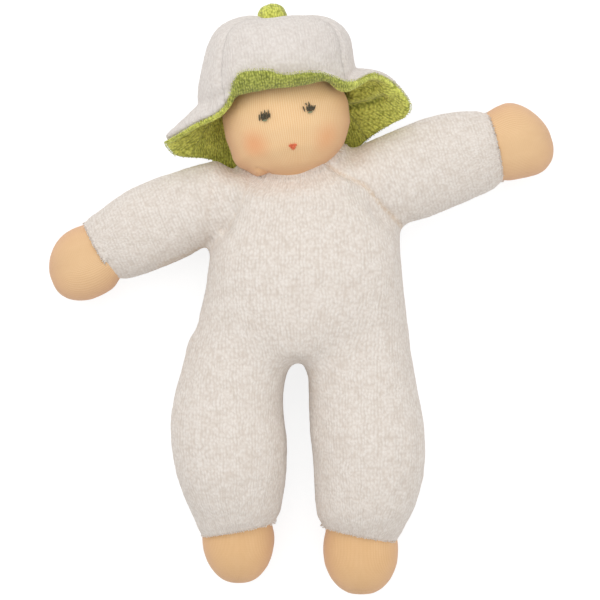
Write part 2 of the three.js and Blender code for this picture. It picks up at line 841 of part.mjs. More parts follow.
const trunk = new THREE.Group();
doll.add(trunk);
addPiece(trunk, "torso_cover", trunkCover, terryCream);
addPiece(trunk, "torso_filling_front", trunkFilling.intersect(halfSpace(1)), wool);
addPiece(trunk, "torso_filling_back", trunkFilling.intersect(halfSpace(-1)), wool);
addPiece(trunk, "rattle_case_base", drumBaseSolid(), plastic);
addPiece(trunk, "rattle_case_lid", drumLidSolid(), plastic);
for (let index = 0; index < beadCount; index += 1) {
  const ball = new THREE.SphereGeometry(beadRadius, beadSegments, beadRings);
  const bead = addPiece(trunk, `rattle_bead_${index + 1}`, solidOf(ball), steel);
  bead.position.set(...beadPlace(index));
}

const head = new THREE.Group();
doll.add(head);
addPiece(head, "head_skin", headSkinSolid(), jerseyFace);
addPiece(head, "head_ball", headBallSolid(), wool);
addPiece(head, "neck_tie", neckTieSolid(), threadTie);
for (const [name, place] of Object.entries(eyePlaces)) {
  addPiece(head, name, stitchSolid(place, eyeOutline()), threadEye);
}
addPiece(head, "mouth", stitchSolid(mouthPlace, mouthOutline()), threadMouth);
addPiece(head, "hat_shell", hatLayer(0, hatWall), terryCream);
addPiece(head, "hat_lining", hatLayer(hatWall + seamGap, hatThickness), terryGreen);
addPiece(head, "hat_stem", stemSolid(), terryGreen);
addPiece(head, "crown_wadding", waddingSolid(), wool);

for (const [name, limb] of Object.entries(limbs)) {
  const [kind, side] = name.split("_");
  const isArm = kind === "arm";
  const group = new THREE.Group();
  doll.add(group);
  addPiece(group, `${isArm ? "sleeve" : "trouser"}_${side}`, sleeveSolid(limb), terryCream);
  addPiece(group, `${isArm ? "hand" : "foot"}_${side}`, handSolid(limb), jerseyHands);
  addPiece(group, `${kind}_filling_${side}`, fillingSolid(limb), wool);
}

export default doll;
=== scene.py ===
"""Rattle doll in a terry suit, lying on its back on a pale table and seen from straight above."""

import json
import math

import bpy
import numpy as np
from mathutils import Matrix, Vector

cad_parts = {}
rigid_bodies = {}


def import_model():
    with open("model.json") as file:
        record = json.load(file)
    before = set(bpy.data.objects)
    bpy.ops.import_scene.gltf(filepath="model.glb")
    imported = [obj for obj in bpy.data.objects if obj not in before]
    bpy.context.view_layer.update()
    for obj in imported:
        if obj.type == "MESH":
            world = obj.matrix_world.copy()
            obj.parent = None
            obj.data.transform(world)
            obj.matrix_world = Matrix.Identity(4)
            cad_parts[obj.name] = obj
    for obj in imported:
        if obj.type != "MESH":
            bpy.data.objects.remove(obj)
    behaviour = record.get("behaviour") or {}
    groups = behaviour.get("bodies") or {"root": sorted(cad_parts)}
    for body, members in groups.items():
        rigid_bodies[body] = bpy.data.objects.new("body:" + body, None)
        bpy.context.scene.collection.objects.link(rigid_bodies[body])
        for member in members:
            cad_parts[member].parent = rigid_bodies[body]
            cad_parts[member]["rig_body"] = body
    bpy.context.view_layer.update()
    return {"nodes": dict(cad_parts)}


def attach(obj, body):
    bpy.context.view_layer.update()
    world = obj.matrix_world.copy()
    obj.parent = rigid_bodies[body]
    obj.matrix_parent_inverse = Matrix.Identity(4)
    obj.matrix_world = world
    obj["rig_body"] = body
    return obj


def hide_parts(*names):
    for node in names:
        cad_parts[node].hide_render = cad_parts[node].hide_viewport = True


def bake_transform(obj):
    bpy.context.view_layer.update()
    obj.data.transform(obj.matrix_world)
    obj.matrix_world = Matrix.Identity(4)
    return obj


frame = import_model()

# Camera and table. The doll is photographed from straight above with a long lens, its stem upwards,
# on a white table that keeps only a soft shadow.
MM = 0.001
CAMERA_HEIGHT = 783
TABLE_TOP = -1.1
lens_data = bpy.data.cameras.new("camera")
lens_data.lens = 135
lens_data.sensor_width = 36
camera = bpy.data.objects.new("camera", lens_data)
camera.location = (0, 0, CAMERA_HEIGHT * MM)
bpy.context.collection.objects.link(camera)
bpy.context.scene.camera = camera


class Wire:
    """A value on its way through a finish. Sums written with it add the nodes they need."""

    def __init__(self, tree, socket=None):
        self.tree = tree
        self.socket = socket

    def node(self, kind, values=(), outlet=0, **settings):
        node = self.tree.nodes.new(kind)
        for name, setting in settings.items():
            setattr(node, name, setting)
        for place, value in dict(values).items():
            inlet = node.inputs[place]
            if isinstance(value, Wire):
                self.tree.links.new(value.socket, inlet)
            else:
                inlet.default_value = value
        return Wire(self.tree, node.outputs[outlet])

    def sum(self, operation, first, second=0.0):
        return self.node("ShaderNodeMath", {0: first, 1: second}, operation=operation)

    def __add__(self, other):
        return self.sum("ADD", self, other)

    def __rsub__(self, other):
        return self.sum("SUBTRACT", other, self)

    def __mul__(self, other):
        return self.sum("MULTIPLY", self, other)

    __radd__ = __add__
    __rmul__ = __mul__

    def move(self, operation, other):
        """Sum of two places or colours, worked out for each of their three numbers."""
        return self.node("ShaderNodeVectorMath", {0: self, 1: other}, operation=operation)

    def part(self, number):
        """One of a place's three numbers."""
        return self.node("ShaderNodeSeparateXYZ", {0: self}, outlet=number)

    def step(self, low, high):
        """0 below low, 1 above high and a soft rise between them."""
        values = {"Value": self, "From Min": low, "From Max": high}
        return self.node("ShaderNodeMapRange", values, interpolation_type="SMOOTHSTEP")

    def blend(self, first, second):
        """The first colour where this is 0 and the second where it is 1."""
        values = {0: self, 6: first, 7: second}
        return self.node("ShaderNodeMix", values, outlet=2, data_type="RGBA")

    def noise(self, place, size, detail=2.0, outlet=0):
        """Soft noise whose grains are about size wide, measured as place is."""
        values = {"Vector": place, "Scale": 1 / size, "Detail": detail}
        return self.node("ShaderNodeTexNoise", values, outlet=outlet)


def new_finish(name, **constants):
    """A material with its shader's constant values set, the shader and a wire to build on."""
    finish = bpy.data.materials.new(name)
    finish.use_nodes = True
    shader = finish.node_tree.nodes["Principled BSDF"]
    for socket, value in constants.items():
        shader.inputs[socket.replace("_", " ")].default_value = value
    return finish, shader, Wire(finish.node_tree)


def lead(wire, inlet):
    wire.tree.links.new(wire.socket, inlet)


def raise_by(height, shader, strength, distance):
    """Lets a height stand up from the surface, so many millimetres where it is 1."""
    values = {"Strength": strength, "Distance": distance * MM, "Height": height}
    lead(height.node("ShaderNodeBump", values), shader.inputs["Normal"])


table, shader, wire = new_finish("table", Roughness=0.9)
shader.inputs["Base Color"].default_value = (0.9, 0.9, 0.9, 1)
seen = wire.node("ShaderNodeLightPath", outlet="Is Camera Ray")
mirrored = wire.node("ShaderNodeLightPath", outlet="Is Glossy Ray")
cloudy = wire.noise(wire.node("ShaderNodeTexCoord", outlet="Object"), 0.11)
shown = (seen + mirrored).sum("MINIMUM", seen + mirrored, 1.0)
paper = cloudy.step(0.2, 0.8).blend((0.9, 0.9, 0.9, 1), (0.92, 0.92, 0.915, 1))
lead(shown.blend(paper, (0.28, 0.28, 0.28, 1)), shader.inputs["Base Color"])
lead(shown * 0.82, shader.inputs["Emission Strength"])
shader.inputs["Emission Color"].default_value = (1, 1, 1, 1)
bpy.ops.mesh.primitive_plane_add(size=2.4, location=(0, 0, TABLE_TOP * MM))
floor = bpy.context.object
floor.name = "table"
floor.data.materials.append(table)

world = bpy.data.worlds.new("room")
bpy.context.scene.world = world
world.use_nodes = True
sky = world.node_tree.nodes["Background"]
wire = Wire(world.node_tree)
seen = wire.node("ShaderNodeLightPath", outlet="Is Camera Ray")
mirrored = wire.node("ShaderNodeLightPath", outlet="Is Glossy Ray")
lead((seen + mirrored).sum("MINIMUM", seen + mirrored, 1.0) * 0.4 + 0.6, sky.inputs["Strength"])
sky.inputs["Color"].default_value = (1, 1, 1, 1)

for name, place, size, power in [
    ("window", (-0.3, 0.5, 0.95), 1.0, 5.5),
    ("reflector", (0.6, -0.2, 0.85), 1.2, 2.2),
]:
    lamp = bpy.data.lights.new(name, "AREA")
    lamp.size = size
    lamp.energy = power
    holder = bpy.data.objects.new(name, lamp)
    holder.location = place
    holder.rotation_mode = "QUATERNION"
    holder.rotation_quaternion = (-Vector(place)).to_track_quat("-Z", "Y")
    bpy.context.collection.objects.link(holder)

bpy.context.scene.view_settings.view_transform = "Standard"

# Terry suit: cream looped terry, sewn as a front and a back with raglan sleeves, turned out and
# stuffed with wool through the neck. Its five parts are cut from one padded form, so that the pile
# runs on over the hips and meets in a groove along the raglan seams.
FORM_VOXEL = 1.2
PADDING_VOXEL = 2.6
PRESSURE = 4
PRESSED_FRAMES = 20
SWELL_CAP = 0.9
HIP_LINE = -19.5
TERRY_TIP = (0.90, 0.84, 0.78, 1)
TERRY_GROUND_SHADE = (0.70, 0.615, 0.54, 1)
# Tan along the raglan seams, also used as painted shade round the neckline, under the right arm and
# between the legs.
TAN_SEAM_AND_SHADE = (0.70, 0.50, 0.30, 1)
HEAD_CENTRE = Vector((-4.6, 61.2, 25.96))
HEAD_TILT = math.radians(8)
HEAD_UP = Vector((-math.sin(HEAD_TILT), math.cos(HEAD_TILT), 0))
HEAD_HALF_WIDTH, HEAD_ABOVE, HEAD_BELOW = 21.8, 21, 20.6
# Each limb: what it ends in, its body, the joint at its root, where it points in degrees, how far out
# its cuff is, half its width and between which distances from the root it bends.
LIMBS = {
    "sleeve_left": {
        "end": "hand_left", "body": "arm_left", "root": (24.8, 38.3, 17), "heading": 16.7,
        "cuff": 44, "wide": 14.5, "bends": (6, 24),
    },
    "sleeve_right": {
        "end": "hand_right", "body": "arm_right", "root": (-27.4, 33.8, 17), "heading": 201.5,
        "cuff": 42, "wide": 14.5, "bends": (6, 24),
    },
    "trouser_left": {
        "end": "foot_left", "body": "leg_left", "root": (20.2, -20, 17.6), "heading": 270,
        "cuff": 59.5, "wide": 17.5, "bends": (1, 24),
    },
    "trouser_right": {
        "end": "foot_right", "body": "leg_right", "root": (-21.2, -20, 17.6), "heading": 270,
        "cuff": 56.8, "wide": 17.5, "bends": (1, 24),
    },
}


def pick(obj):
    """Leaves only this object selected and active."""
    bpy.ops.object.select_all(action="DESELECT")
    obj.select_set(True)
    bpy.context.view_layer.objects.active = obj


def worked(obj, kind, **settings):
    """Puts a modifier on the object and applies it."""
    pick(obj)
    modifier = obj.modifiers.new(kind.lower(), kind)
    for name, setting in settings.items():
        setattr(modifier, name, setting)
    bpy.ops.object.modifier_apply(modifier=modifier.name)


def joined(name, *parts):
    pick(parts[0])
    for part in parts:
        part.select_set(True)
    bpy.ops.object.join()
    obj = bpy.context.object
    obj.name = name
    obj.data.name = name
    return obj


def edit(obj):
    pick(obj)
    bpy.ops.object.mode_set(mode="EDIT")
    bpy.ops.mesh.select_all(action="SELECT")


def copy_of(name, *nodes):
    """One new object that holds merged copies of these nodes of the frame."""
    copies = []
    for node in nodes:
        copy = bpy.data.objects.new(name, frame["nodes"][node].data.copy())
        bpy.context.collection.objects.link(copy)
        copies.append(copy)
    obj = joined(name, *copies)
    obj.data.materials.clear()
    edit(obj)
    bpy.ops.mesh.remove_doubles(threshold=0.002 * MM)
    bpy.ops.object.mode_set(mode="OBJECT")
    return obj


def places(obj):
    """The object's points as rows of millimetres."""
    flat = np.empty(len(obj.data.vertices) * 3)
    obj.data.vertices.foreach_get("co", flat)
    return flat.reshape(-1, 3) / MM


def normals(obj):
    flat = np.empty(len(obj.data.vertices) * 3)
    obj.data.vertices.foreach_get("normal", flat)
    return flat.reshape(-1, 3)


def put(obj, points):
    obj.data.vertices.foreach_set("co", (points * MM).ravel())
    obj.data.update()


def rise(value, low, high):
    """0 below low, 1 above high and a soft rise between them."""
    t = np.clip((value - low) / (high - low), 0, 1)
    return t * t * (3 - 2 * t)


def near(gap, width):
    """1 where the gap is 0, fading away over about the width."""
    return np.exp(-((gap / width) ** 2))


def unit(arrows):
    """The same directions, all of length 1."""
    return arrows / np.linalg.norm(arrows, axis=-1, keepdims=True)


def largest_only(obj):
    """Keeps the largest loose part of the object."""
    name = obj.name
    pick(obj)
    bpy.ops.mesh.separate(type="LOOSE")
    parts = sorted(bpy.context.selected_objects, key=lambda part: len(part.data.vertices))
    for part in parts[:-1]:
        bpy.data.objects.remove(part)
    parts[-1].name = parts[-1].data.name = name
    return parts[-1]


def along_of(limb):
    heading = math.radians(limb["heading"])
    return np.array([math.cos(heading), math.sin(heading), 0])


def stretch(node, limb):
    """A plug with the cuff's outline that carries the sleeve straight on past its end."""
    root, along = np.array(limb["root"]), along_of(limb)
    side = np.array([-along[1], along[0], 0])
    rim = places(frame["nodes"][node]) - root
    rim = rim[(rim @ along) > limb["cuff"] - 0.4]
    across, height = rim @ side, rim[:, 2] + root[2]
    middle = root + along * (limb["cuff"] + 0.5) + side * (across.max() + across.min()) / 2
    middle[2] = (height.max() + height.min()) / 2
    bpy.ops.mesh.primitive_cylinder_add(vertices=48, radius=MM, depth=17 * MM)
    plug = bpy.context.object
    pick(plug)
    wide, deep = (across.max() - across.min()) / 2, (height.max() - height.min()) / 2
    bpy.ops.transform.resize(value=(deep, wide, 1))
    bpy.ops.object.transform_apply(location=True, rotation=True, scale=True)
    plug.rotation_euler = (0, math.pi / 2, math.radians(limb["heading"]))
    plug.location = Vector(middle) * MM
    bpy.ops.object.transform_apply(location=True, rotation=True, scale=True)
    return plug


core = copy_of(
    "suit",
    *["torso_cover", "torso_filling_front", "torso_filling_back"],
    *["rattle_case_base", "rattle_case_lid"],
    *["sleeve_left", "sleeve_right", "trouser_left", "trouser_right", "head_skin", "head_ball"],
    *["arm_filling_left", "arm_filling_right", "leg_filling_left", "leg_filling_right"],
)
suit = joined("suit", core, *[stretch(node, limb) for node, limb in LIMBS.items()])
worked(suit, "REMESH", mode="VOXEL", voxel_size=FORM_VOXEL * MM)
suit = largest_only(suit)
worked(suit, "SMOOTH", factor=0.5, iterations=10)
worked(suit, "REMESH", mode="VOXEL", voxel_size=PADDING_VOXEL * MM)
suit = largest_only(suit)

# The belly runs on into the legs with no fold, so the wedge that the hinges need is eased away.
points, facing = places(suit), normals(suit)
over_hips = rise(points[:, 1], -46, -34) * (1 - rise(points[:, 1], 0, 12))
over_hips *= rise(points[:, 2], 8, 16)
inner = 1 - rise(abs(points[:, 0] + 0.5), 6, 12)
weights = over_hips * np.maximum(rise(facing[:, 2], 0.15, 0.55), inner)
group = suit.vertex_groups.new(name="ease")
for index in np.nonzero(weights > 0.02)[0]:
    group.add([int(index)], float(weights[index]), "REPLACE")
worked(suit, "SMOOTH", factor=0.5, iterations=70, vertex_group="ease")
suit.vertex_groups.clear()


def pulled(points, middle, reach, shift):
    """Points near an upright line through the middle, pulled along with it."""
    share = np.exp(-(((points[:, :2] - middle) / np.array(reach)) ** 2).sum(axis=1))
    return points + share[:, None] * np.array(shift)


# The fork of the legs goes up a little and narrows, and the doll's right armpit is drawn in.
for middle, reach, shift in [
    ((-0.8, -26), (6.5, 6.5), (0, 4, 0)),
    ((4.8, -38), (3.5, 15), (-1.3, 0, 0)),
    ((-32, 16.8), (3.4, 3.4), (1.9, 2.2, 0)),
]:
    put(suit, pulled(places(suit), middle, reach, shift))


def past_head(points):
    """How far points lie outside the head's skin, in millimetres."""
    from_middle = points - np.array(HEAD_CENTRE)
    up = from_middle @ np.array(HEAD_UP)
    round_axis = np.sqrt(np.maximum((from_middle**2).sum(1) - up**2, 0))
    share_up = up / np.where(up > 0, HEAD_ABOVE, HEAD_BELOW)
    return (np.hypot(round_axis / HEAD_HALF_WIDTH, share_up) - 1) * HEAD_ABOVE


# The wool presses the cloth outwards from inside, by at most the cap, and less beside the neck.
pick(suit)
before = places(suit)
cloth = suit.modifiers.new("cloth", "CLOTH")
cloth.settings.use_pressure = True
cloth.settings.uniform_pressure_force = PRESSURE
cloth.settings.shrink_min = -0.02
cloth.settings.effector_weights.gravity = 0
cloth.point_cache.frame_start, cloth.point_cache.frame_end = 1, PRESSED_FRAMES
for moment in range(1, PRESSED_FRAMES + 1):
    bpy.context.scene.frame_set(moment)
bpy.ops.object.modifier_apply(modifier=cloth.name)
move = places(suit) - before
length = np.linalg.norm(move, axis=1, keepdims=True)
limit = SWELL_CAP * rise(past_head(before), 1, 8)[:, None]
move *= np.tanh(length / np.maximum(limit, 0.001)) * limit / np.maximum(length, 0.001)
put(suit, before + move)
bpy.context.scene.frame_set(1)
worked(suit, "SUBSURF", levels=2, render_levels=2)

# The neck opening: the collar sinks towards the chin, and its edge is tucked in behind the skin.
COLLAR_DIP = 3.2
COLLAR_TUCK = 2.2
points = places(suit)
outside = past_head(points)
in_front = rise(points[:, 2], 14, 26) * rise(points[:, 1], 26, 34)
lower_right = 1 + 0.9 * near(points[:, 0] + 17, 7)
points[:, 2] -= COLLAR_DIP * (1 - rise(outside, 0, 10)) * in_front * lower_right
points = pulled(points, (-20.5, 46.5), (5, 4), (0, -1.8, -0.6))
inward = unit(np.array(HEAD_CENTRE) - points)
points += inward * (COLLAR_TUCK * (1 - rise(outside, 0.6, 2.2)))[:, None]
put(suit, points)
hidden = (past_head(points) < -1) | (points @ np.array(HEAD_UP) > HEAD_CENTRE @ HEAD_UP)
for face in suit.data.polygons:
    face.select = all(bool(hidden[v]) for v in face.vertices)
pick(suit)
bpy.ops.object.mode_set(mode="EDIT")
bpy.ops.mesh.select_mode(type="FACE")
bpy.ops.mesh.delete(type="FACE")
bpy.ops.object.mode_set(mode="OBJECT")
suit = largest_only(suit)


def distance_to(points, line):
    """How far points lie from a line of corners in the plane of the table, and on which side."""
    best = np.full(len(points), 1e9)
    side = np.zeros(len(points))
    for (ax, ay), (bx, by) in zip(line, line[1:]):
        step = np.array([bx - ax, by - ay])
        from_a = points[:, :2] - (ax, ay)
        share = np.clip(from_a @ step / (step @ step), 0, 1)
        gap = np.linalg.norm(from_a - share[:, None] * step, axis=1)
        turn = step[0] * from_a[:, 1] - step[1] * from_a[:, 0]
        side = np.where(gap < best, np.sign(turn), side)
        best = np.minimum(gap, best)
    return best, side


# Creases of the suit, each a line in the plane of the table, how deep and how wide it is: the two
# raglan seams, and the fold of the doll's right sleeve where it meets the chest.
RAGLAN_LEFT = [(9, 45.5), (12.2, 43), (21.7, 38.3), (26.9, 32.1), (34, 25.3), (37, 22)]
RAGLAN_RIGHT = [(-15, 46), (-17, 41), (-19, 32.5), (-23.5, 25), (-30.2, 17.5), (-33, 14)]
SLEEVE_FOLD = [(-28.6, 38), (-29.7, 31), (-29.9, 25), (-30.6, 19)]
CREASES = [(RAGLAN_LEFT, 1.0, 0.9), (RAGLAN_RIGHT, 0.15, 0.9), (SLEEVE_FOLD, 0.9, 1.2)]
points, facing = places(suit), normals(suit)
push = np.zeros(len(points))
for line, depth, width in CREASES:
    gap, _ = distance_to(points, line)
    push -= depth * near(gap, width) * rise(facing[:, 2], 0, 0.5)
put(suit, points + facing * push[:, None])


def pile(obj, loops=0.14, clumps=0.22):
    """Lets the loops of the terry stand up from its ground, some higher than others."""
    rings = bpy.data.textures.new("loops", "VORONOI")
    rings.noise_scale = 1.25 * MM
    tufts = bpy.data.textures.new("tufts", "CLOUDS")
    tufts.noise_scale = 4.2 * MM
    tufts.noise_depth = 2
    for texture, strength, level in [(tufts, clumps, 0.5), (rings, -loops, 0.4)]:
        settings = {"texture": texture, "texture_coords": "LOCAL", "mid_level": level}
        worked(obj, "DISPLACE", strength=strength * MM, **settings)


def laid_on(obj, lowest=0.02):
    """Presses what hangs below the table's surface flat on it."""
    points = places(obj)
    points[:, 2] = np.maximum(points[:, 2], lowest)
    put(obj, points)


def cut(obj, point, direction, reach=24):
    """Cuts off what lies past a plane within reach of its middle, and closes the cut."""
    within = np.linalg.norm(places(obj) - np.array(point), axis=1) < reach
    pick(obj)
    bpy.context.tool_settings.mesh_select_mode = (True, False, False)
    obj.data.vertices.foreach_set("select", within)
    bpy.ops.object.mode_set(mode="EDIT")
    bpy.ops.mesh.select_mode(type="VERT")
    plane = {"plane_co": Vector(point) * MM, "plane_no": direction}
    bpy.ops.mesh.bisect(**plane, use_fill=True, clear_outer=True, clear_inner=False)
    bpy.ops.object.mode_set(mode="OBJECT")


# The cuffs: where each is cut off and which way it looks. Its edge is turned in, tight to the skin.
CUFF_TUCK = 1.1
CUFFS = {
    "sleeve_left": ((66.6, 52.4), (0.974, 0.225)),
    "sleeve_right": ((-68.3, 16.5), (-0.867, -0.498)),
    "trouser_left": ((19.5, -79.4), (-0.2, -0.98)),
    "trouser_right": ((-21.5, -78.0), (0.19, -0.98)),
}
for node, ((x, y), (ax, ay)) in CUFFS.items():
    cut(suit, (x, y, 15), (ax, ay, 0))
    middle = Vector((x, y, 15)) * MM
    for face in suit.data.polygons:
        face.select = len(face.vertices) > 20 and (face.center - middle).length < 9 * MM
    bpy.ops.object.mode_set(mode="EDIT")
    bpy.ops.mesh.select_mode(type="FACE")
    bpy.ops.mesh.inset(thickness=0.5 * MM, use_even_offset=False)
    bpy.ops.transform.translate(value=Vector((ax, ay, 0)) * 0.35 * MM)
    bpy.ops.mesh.inset(thickness=1.0 * MM, use_even_offset=False)
    bpy.ops.mesh.inset(thickness=0.5 * MM, use_even_offset=False)
    bpy.ops.transform.translate(value=Vector((ax, ay, 0)) * -2.4 * MM)
    bpy.ops.object.mode_set(mode="OBJECT")

    points = places(suit)
    past = (points - (x, y, 15)) @ (ax, ay, 0)
    from_axis = points - (x, y, 15) - past[:, None] * np.array([ax, ay, 0])
    spread = np.linalg.norm(from_axis, axis=1, keepdims=True)
    on_cuff = ((abs(past) < 4) & (spread[:, 0] > 8) & (spread[:, 0] < 24))[:, None]
    tuck = CUFF_TUCK * (1 - rise(-past, -0.5, 3.5))[:, None] * on_cuff
    put(suit, points - from_axis / np.maximum(spread, 0.1) * tuck)

pile(suit)
laid_on(suit)


def stored(obj, name, values):
    """Stores a number, or a place of three, for each of the object's points."""
    kind, field = ("FLOAT", "value") if values.ndim == 1 else ("FLOAT_VECTOR", "vector")
    attribute = obj.data.attributes.new(name, kind, "POINT")
    attribute.data.foreach_set(field, values.astype(np.float32).ravel())


def grain(obj, root, along, half_width, half_depth, rows_round=False):
    """Stores where each point lies on its cloth: across its rows, along them, and out."""
    root, along = np.array(root, float), np.array(along, float)
    side = np.cross((0, 0, 1), along)
    from_root = places(obj) - root
    across, height = from_root @ side, from_root[:, 2]
    turns = np.linspace(-math.pi, math.pi, 721)
    speed = np.hypot(half_width * np.cos(turns), half_depth * np.sin(turns))
    steps = np.cumsum((speed[1:] + speed[:-1]) / 2 * (turns[1] - turns[0]))
    lengths = np.concatenate([[0], steps]) - steps[-1] / 2
    turn = np.arctan2(across / half_width, height / half_depth)
    out = np.hypot(across, height)
    rows = [np.interp(turn, turns, lengths), from_root @ along, out]
    stored(obj, "cloth", np.stack([rows[1], rows[0], out] if rows_round else rows, axis=1))


def terry_finish(name, ground, tip, seam_and_shade_colour=None, depth=0.6, low=0.52, high=2.0, fine=1.0):
    """Looped terry, rows of loops about a millimetre apart: paler tips, painted shade between them."""
    finish, shader, wire = new_finish(name, Roughness=0.95, Sheen_Weight=0.2, Sheen_Roughness=0.6)
    shader.inputs["Specular IOR Level"].default_value = 0.12
    cloth = wire.node("ShaderNodeAttribute", outlet="Vector", attribute_name="cloth")
    sway = wire.noise(cloth, 5.0, outlet="Color")
    loose = cloth.move("ADD", sway.move("MULTIPLY", (1.6, 1.6, 0)))
    loose = loose.move("MULTIPLY", (fine, fine, fine))
    rows = loose.move("MULTIPLY", (1.05, 0.78, 0.78))
    loops = wire.node("ShaderNodeTexVoronoi", {"Vector": rows, "Scale": 1.0, "Randomness": 0.8})
    furrow = wire.sum("SINE", loose.part(0) * 5.6)
    fibres = wire.noise(cloth, 0.3, 3)
    height = 1 - loops + fibres * 0.5 + furrow * 0.12
    tufts = wire.noise(cloth, 3.4, 4)
    # The ground between the loops is darkened as painted shade, and the tufts vary the tone at random.
    colour = (height + tufts * 0.9).step(low, high).blend(ground, tip)
    # Where the stored marks are set, the colour turns to the given tint: tan along seams, and painted
    # shade.
    if seam_and_shade_colour:
        sewn = wire.node("ShaderNodeAttribute", outlet="Fac", attribute_name="sewn")
        colour = (sewn * (1 - height * 0.4)).step(0.05, 1.0).blend(colour, seam_and_shade_colour)
    lead(colour, shader.inputs["Base Color"])
    raise_by(height, shader, depth, 0.4)
    return finish


terry_cream = terry_finish("terry_cream", TERRY_GROUND_SHADE, TERRY_TIP, TAN_SEAM_AND_SHADE)


def loop_row(spots, outwards, facings, size=0.4):
    """Loops of terry that stand out of a cut edge: one small ring, copied to each spot."""
    bpy.ops.object.select_all(action="DESELECT")
    bpy.ops.mesh.primitive_torus_add(
        major_segments=8, minor_segments=4, major_radius=size * MM, minor_radius=0.3 * size * MM
    )
    ring = bpy.context.object
    shape = places(ring)
    chance = np.random.default_rng(len(spots))
    loops = []
    for spot, outward, facing in zip(spots, outwards, facings):
        copy = ring.copy()
        copy.data = ring.data.copy()
        bpy.context.collection.objects.link(copy)
        reach = unit(outward + facing * chance.uniform(-0.2, 0.7))
        slant = chance.uniform(-1.1, 1.1)
        wide = unit(np.cross(reach, facing)) * math.cos(slant) + facing * math.sin(slant)
        wide = unit(wide - reach * (wide @ reach))
        grown = shape * chance.uniform(0.8, 1.2)
        turned = grown[:, :1] * 1.25 * reach + grown[:, 1:2] * 0.85 * wide
        turned += grown[:, 2:] * np.cross(reach, wide)
        put(copy, spot + turned + reach * size * chance.uniform(0.0, 0.5))
        loops.append(copy)
    bpy.data.objects.remove(ring)
    return loops


def every(points, spacing):
    """Numbers of the points that are left when none may be nearer to another than the spacing."""
    kept = []
    for index, point in enumerate(points):
        if not kept or np.min(np.linalg.norm(points[kept] - point, axis=1)) > spacing:
            kept.append(index)
    return kept


# The cuffs' edges and the neckline are fringed with the terry's loops.
CUFF_SPACING = 0.75
NECK_SPACING = 1.0
fringe = []
for node, ((x, y), (ax, ay)) in CUFFS.items():
    outward = np.array([ax, ay, 0])
    spots, facings = [], []
    for turn in np.linspace(0, 2 * math.pi, 240, endpoint=False):
        ray = np.array([-ay * math.cos(turn), ax * math.cos(turn), math.sin(turn)])
        origin = Vector(np.array([x, y, 15]) - outward * 0.5 + ray * 20) * MM
        struck, spot, facing, _ = suit.ray_cast(origin, Vector(-ray))
        if struck and facing.dot(Vector(ray)) > 0.3 and abs(ray[2]) > 0.15:
            spots.append(np.array(spot) / MM + outward * 0.4 - ray * 0.2)
            facings.append(ray)
    kept = every(np.array(spots), CUFF_SPACING)
    facings = [facings[k] for k in kept]
    fringe += loop_row([spots[k] for k in kept], [outward] * len(kept), facings)
points, facing = places(suit), normals(suit)
outside = past_head(points)
near_skin = np.nonzero((outside > 0.5) & (outside < 1.7) & (points[:, 2] > 8))[0]
near_skin = near_skin[every(points[near_skin], NECK_SPACING)]
inward = unit(np.array(HEAD_CENTRE) - points[near_skin])
facing = facing[near_skin]
along_cloth = unit(inward - facing * (inward * facing).sum(axis=1, keepdims=True))
fringe += loop_row(points[near_skin], along_cloth, facing, size=0.45)
suit = joined("suit", suit, *fringe)

# The suit's parts: the sleeves come off along the raglan seams and the trousers at the hips. The
# raglan seams are tinted tan, and tan painted shade lies round the neckline, between the legs and
# under the right arm.
points = places(suit)
gap_left, side_left = distance_to(points, RAGLAN_LEFT)
gap_right, side_right = distance_to(points, RAGLAN_RIGHT)
part = np.zeros(len(points), int)
part[(side_left > 0) & (points[:, 0] > 8) & (points[:, 1] > 18)] = 1
past_arm = (points[:, 1] > 10) | (points[:, 0] < -38)
part[(side_right < 0) & (points[:, 0] < -12) & past_arm] = 2
part[(points[:, 1] < HIP_LINE) & (points[:, 0] > 0)] = 3
part[(points[:, 1] < HIP_LINE) & (points[:, 0] <= 0)] = 4
# A tan tint along the raglan seams, and painted shade in a thin band where the suit meets the head.
sewn = np.maximum(0.6 * near(gap_left, 1.0), 0.3 * near(gap_right, 0.7))
sewn = np.maximum(sewn * (points[:, 1] > 12), 0.3 * (1 - rise(past_head(points), 0.0, 0.6)))
# Painted shade: tan darkening under the doll's right arm, on its lower side, and between the legs.
under_arm, _ = distance_to(points, [(-31.5, 18.5), (-40, 14.8), (-47, 12)])
painted_suit_shade = 0.55 * near(under_arm, 2.6) * (1 - rise(normals(suit)[:, 2], 0.2, 0.75))
between, _ = distance_to(points, [(3.6, -24), (3.8, -36)])
painted_suit_shade = np.maximum(painted_suit_shade, 0.3 * near(between, 2.2))
stored(suit, "sewn", np.maximum(sewn, painted_suit_shade))
stored(suit, "part", part.astype(float))
suit_parts = {}
for number, name in enumerate(LIMBS, start=1):
    pick(suit)
    marks = np.empty(len(suit.data.vertices), np.float32)
    suit.data.attributes["part"].data.foreach_get("value", marks)
    for face in suit.data.polygons:
        inside = sum(abs(marks[v] - number) < 0.5 for v in face.vertices)
        face.select = bool(inside * 2 > len(face.vertices))
    before = set(bpy.data.objects)
    bpy.ops.object.mode_set(mode="EDIT")
    bpy.ops.mesh.separate(type="SELECTED")
    bpy.ops.object.mode_set(mode="OBJECT")
    piece = (set(bpy.data.objects) - before).pop()
    piece.name = piece.data.name = f"suit_{name}"
    suit_parts[name] = piece
suit.name = suit.data.name = "suit_trunk"
grain(suit, (0, 0, 19.5), (0, 1, 0), 33, 20)
for name, piece in suit_parts.items():
    limb = LIMBS[name]
    wide, rows_round = limb["wide"], "sleeve" in name
    grain(piece, limb["root"], along_of(limb), wide, wide, rows_round)
for name, piece in [("torso_cover", suit), *suit_parts.items()]:
    piece.data.attributes.remove(piece.data.attributes["part"])
    piece.data.materials.append(terry_cream)
    pick(piece)
    bpy.ops.object.shade_smooth()
    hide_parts(name)
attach(suit, "trunk")


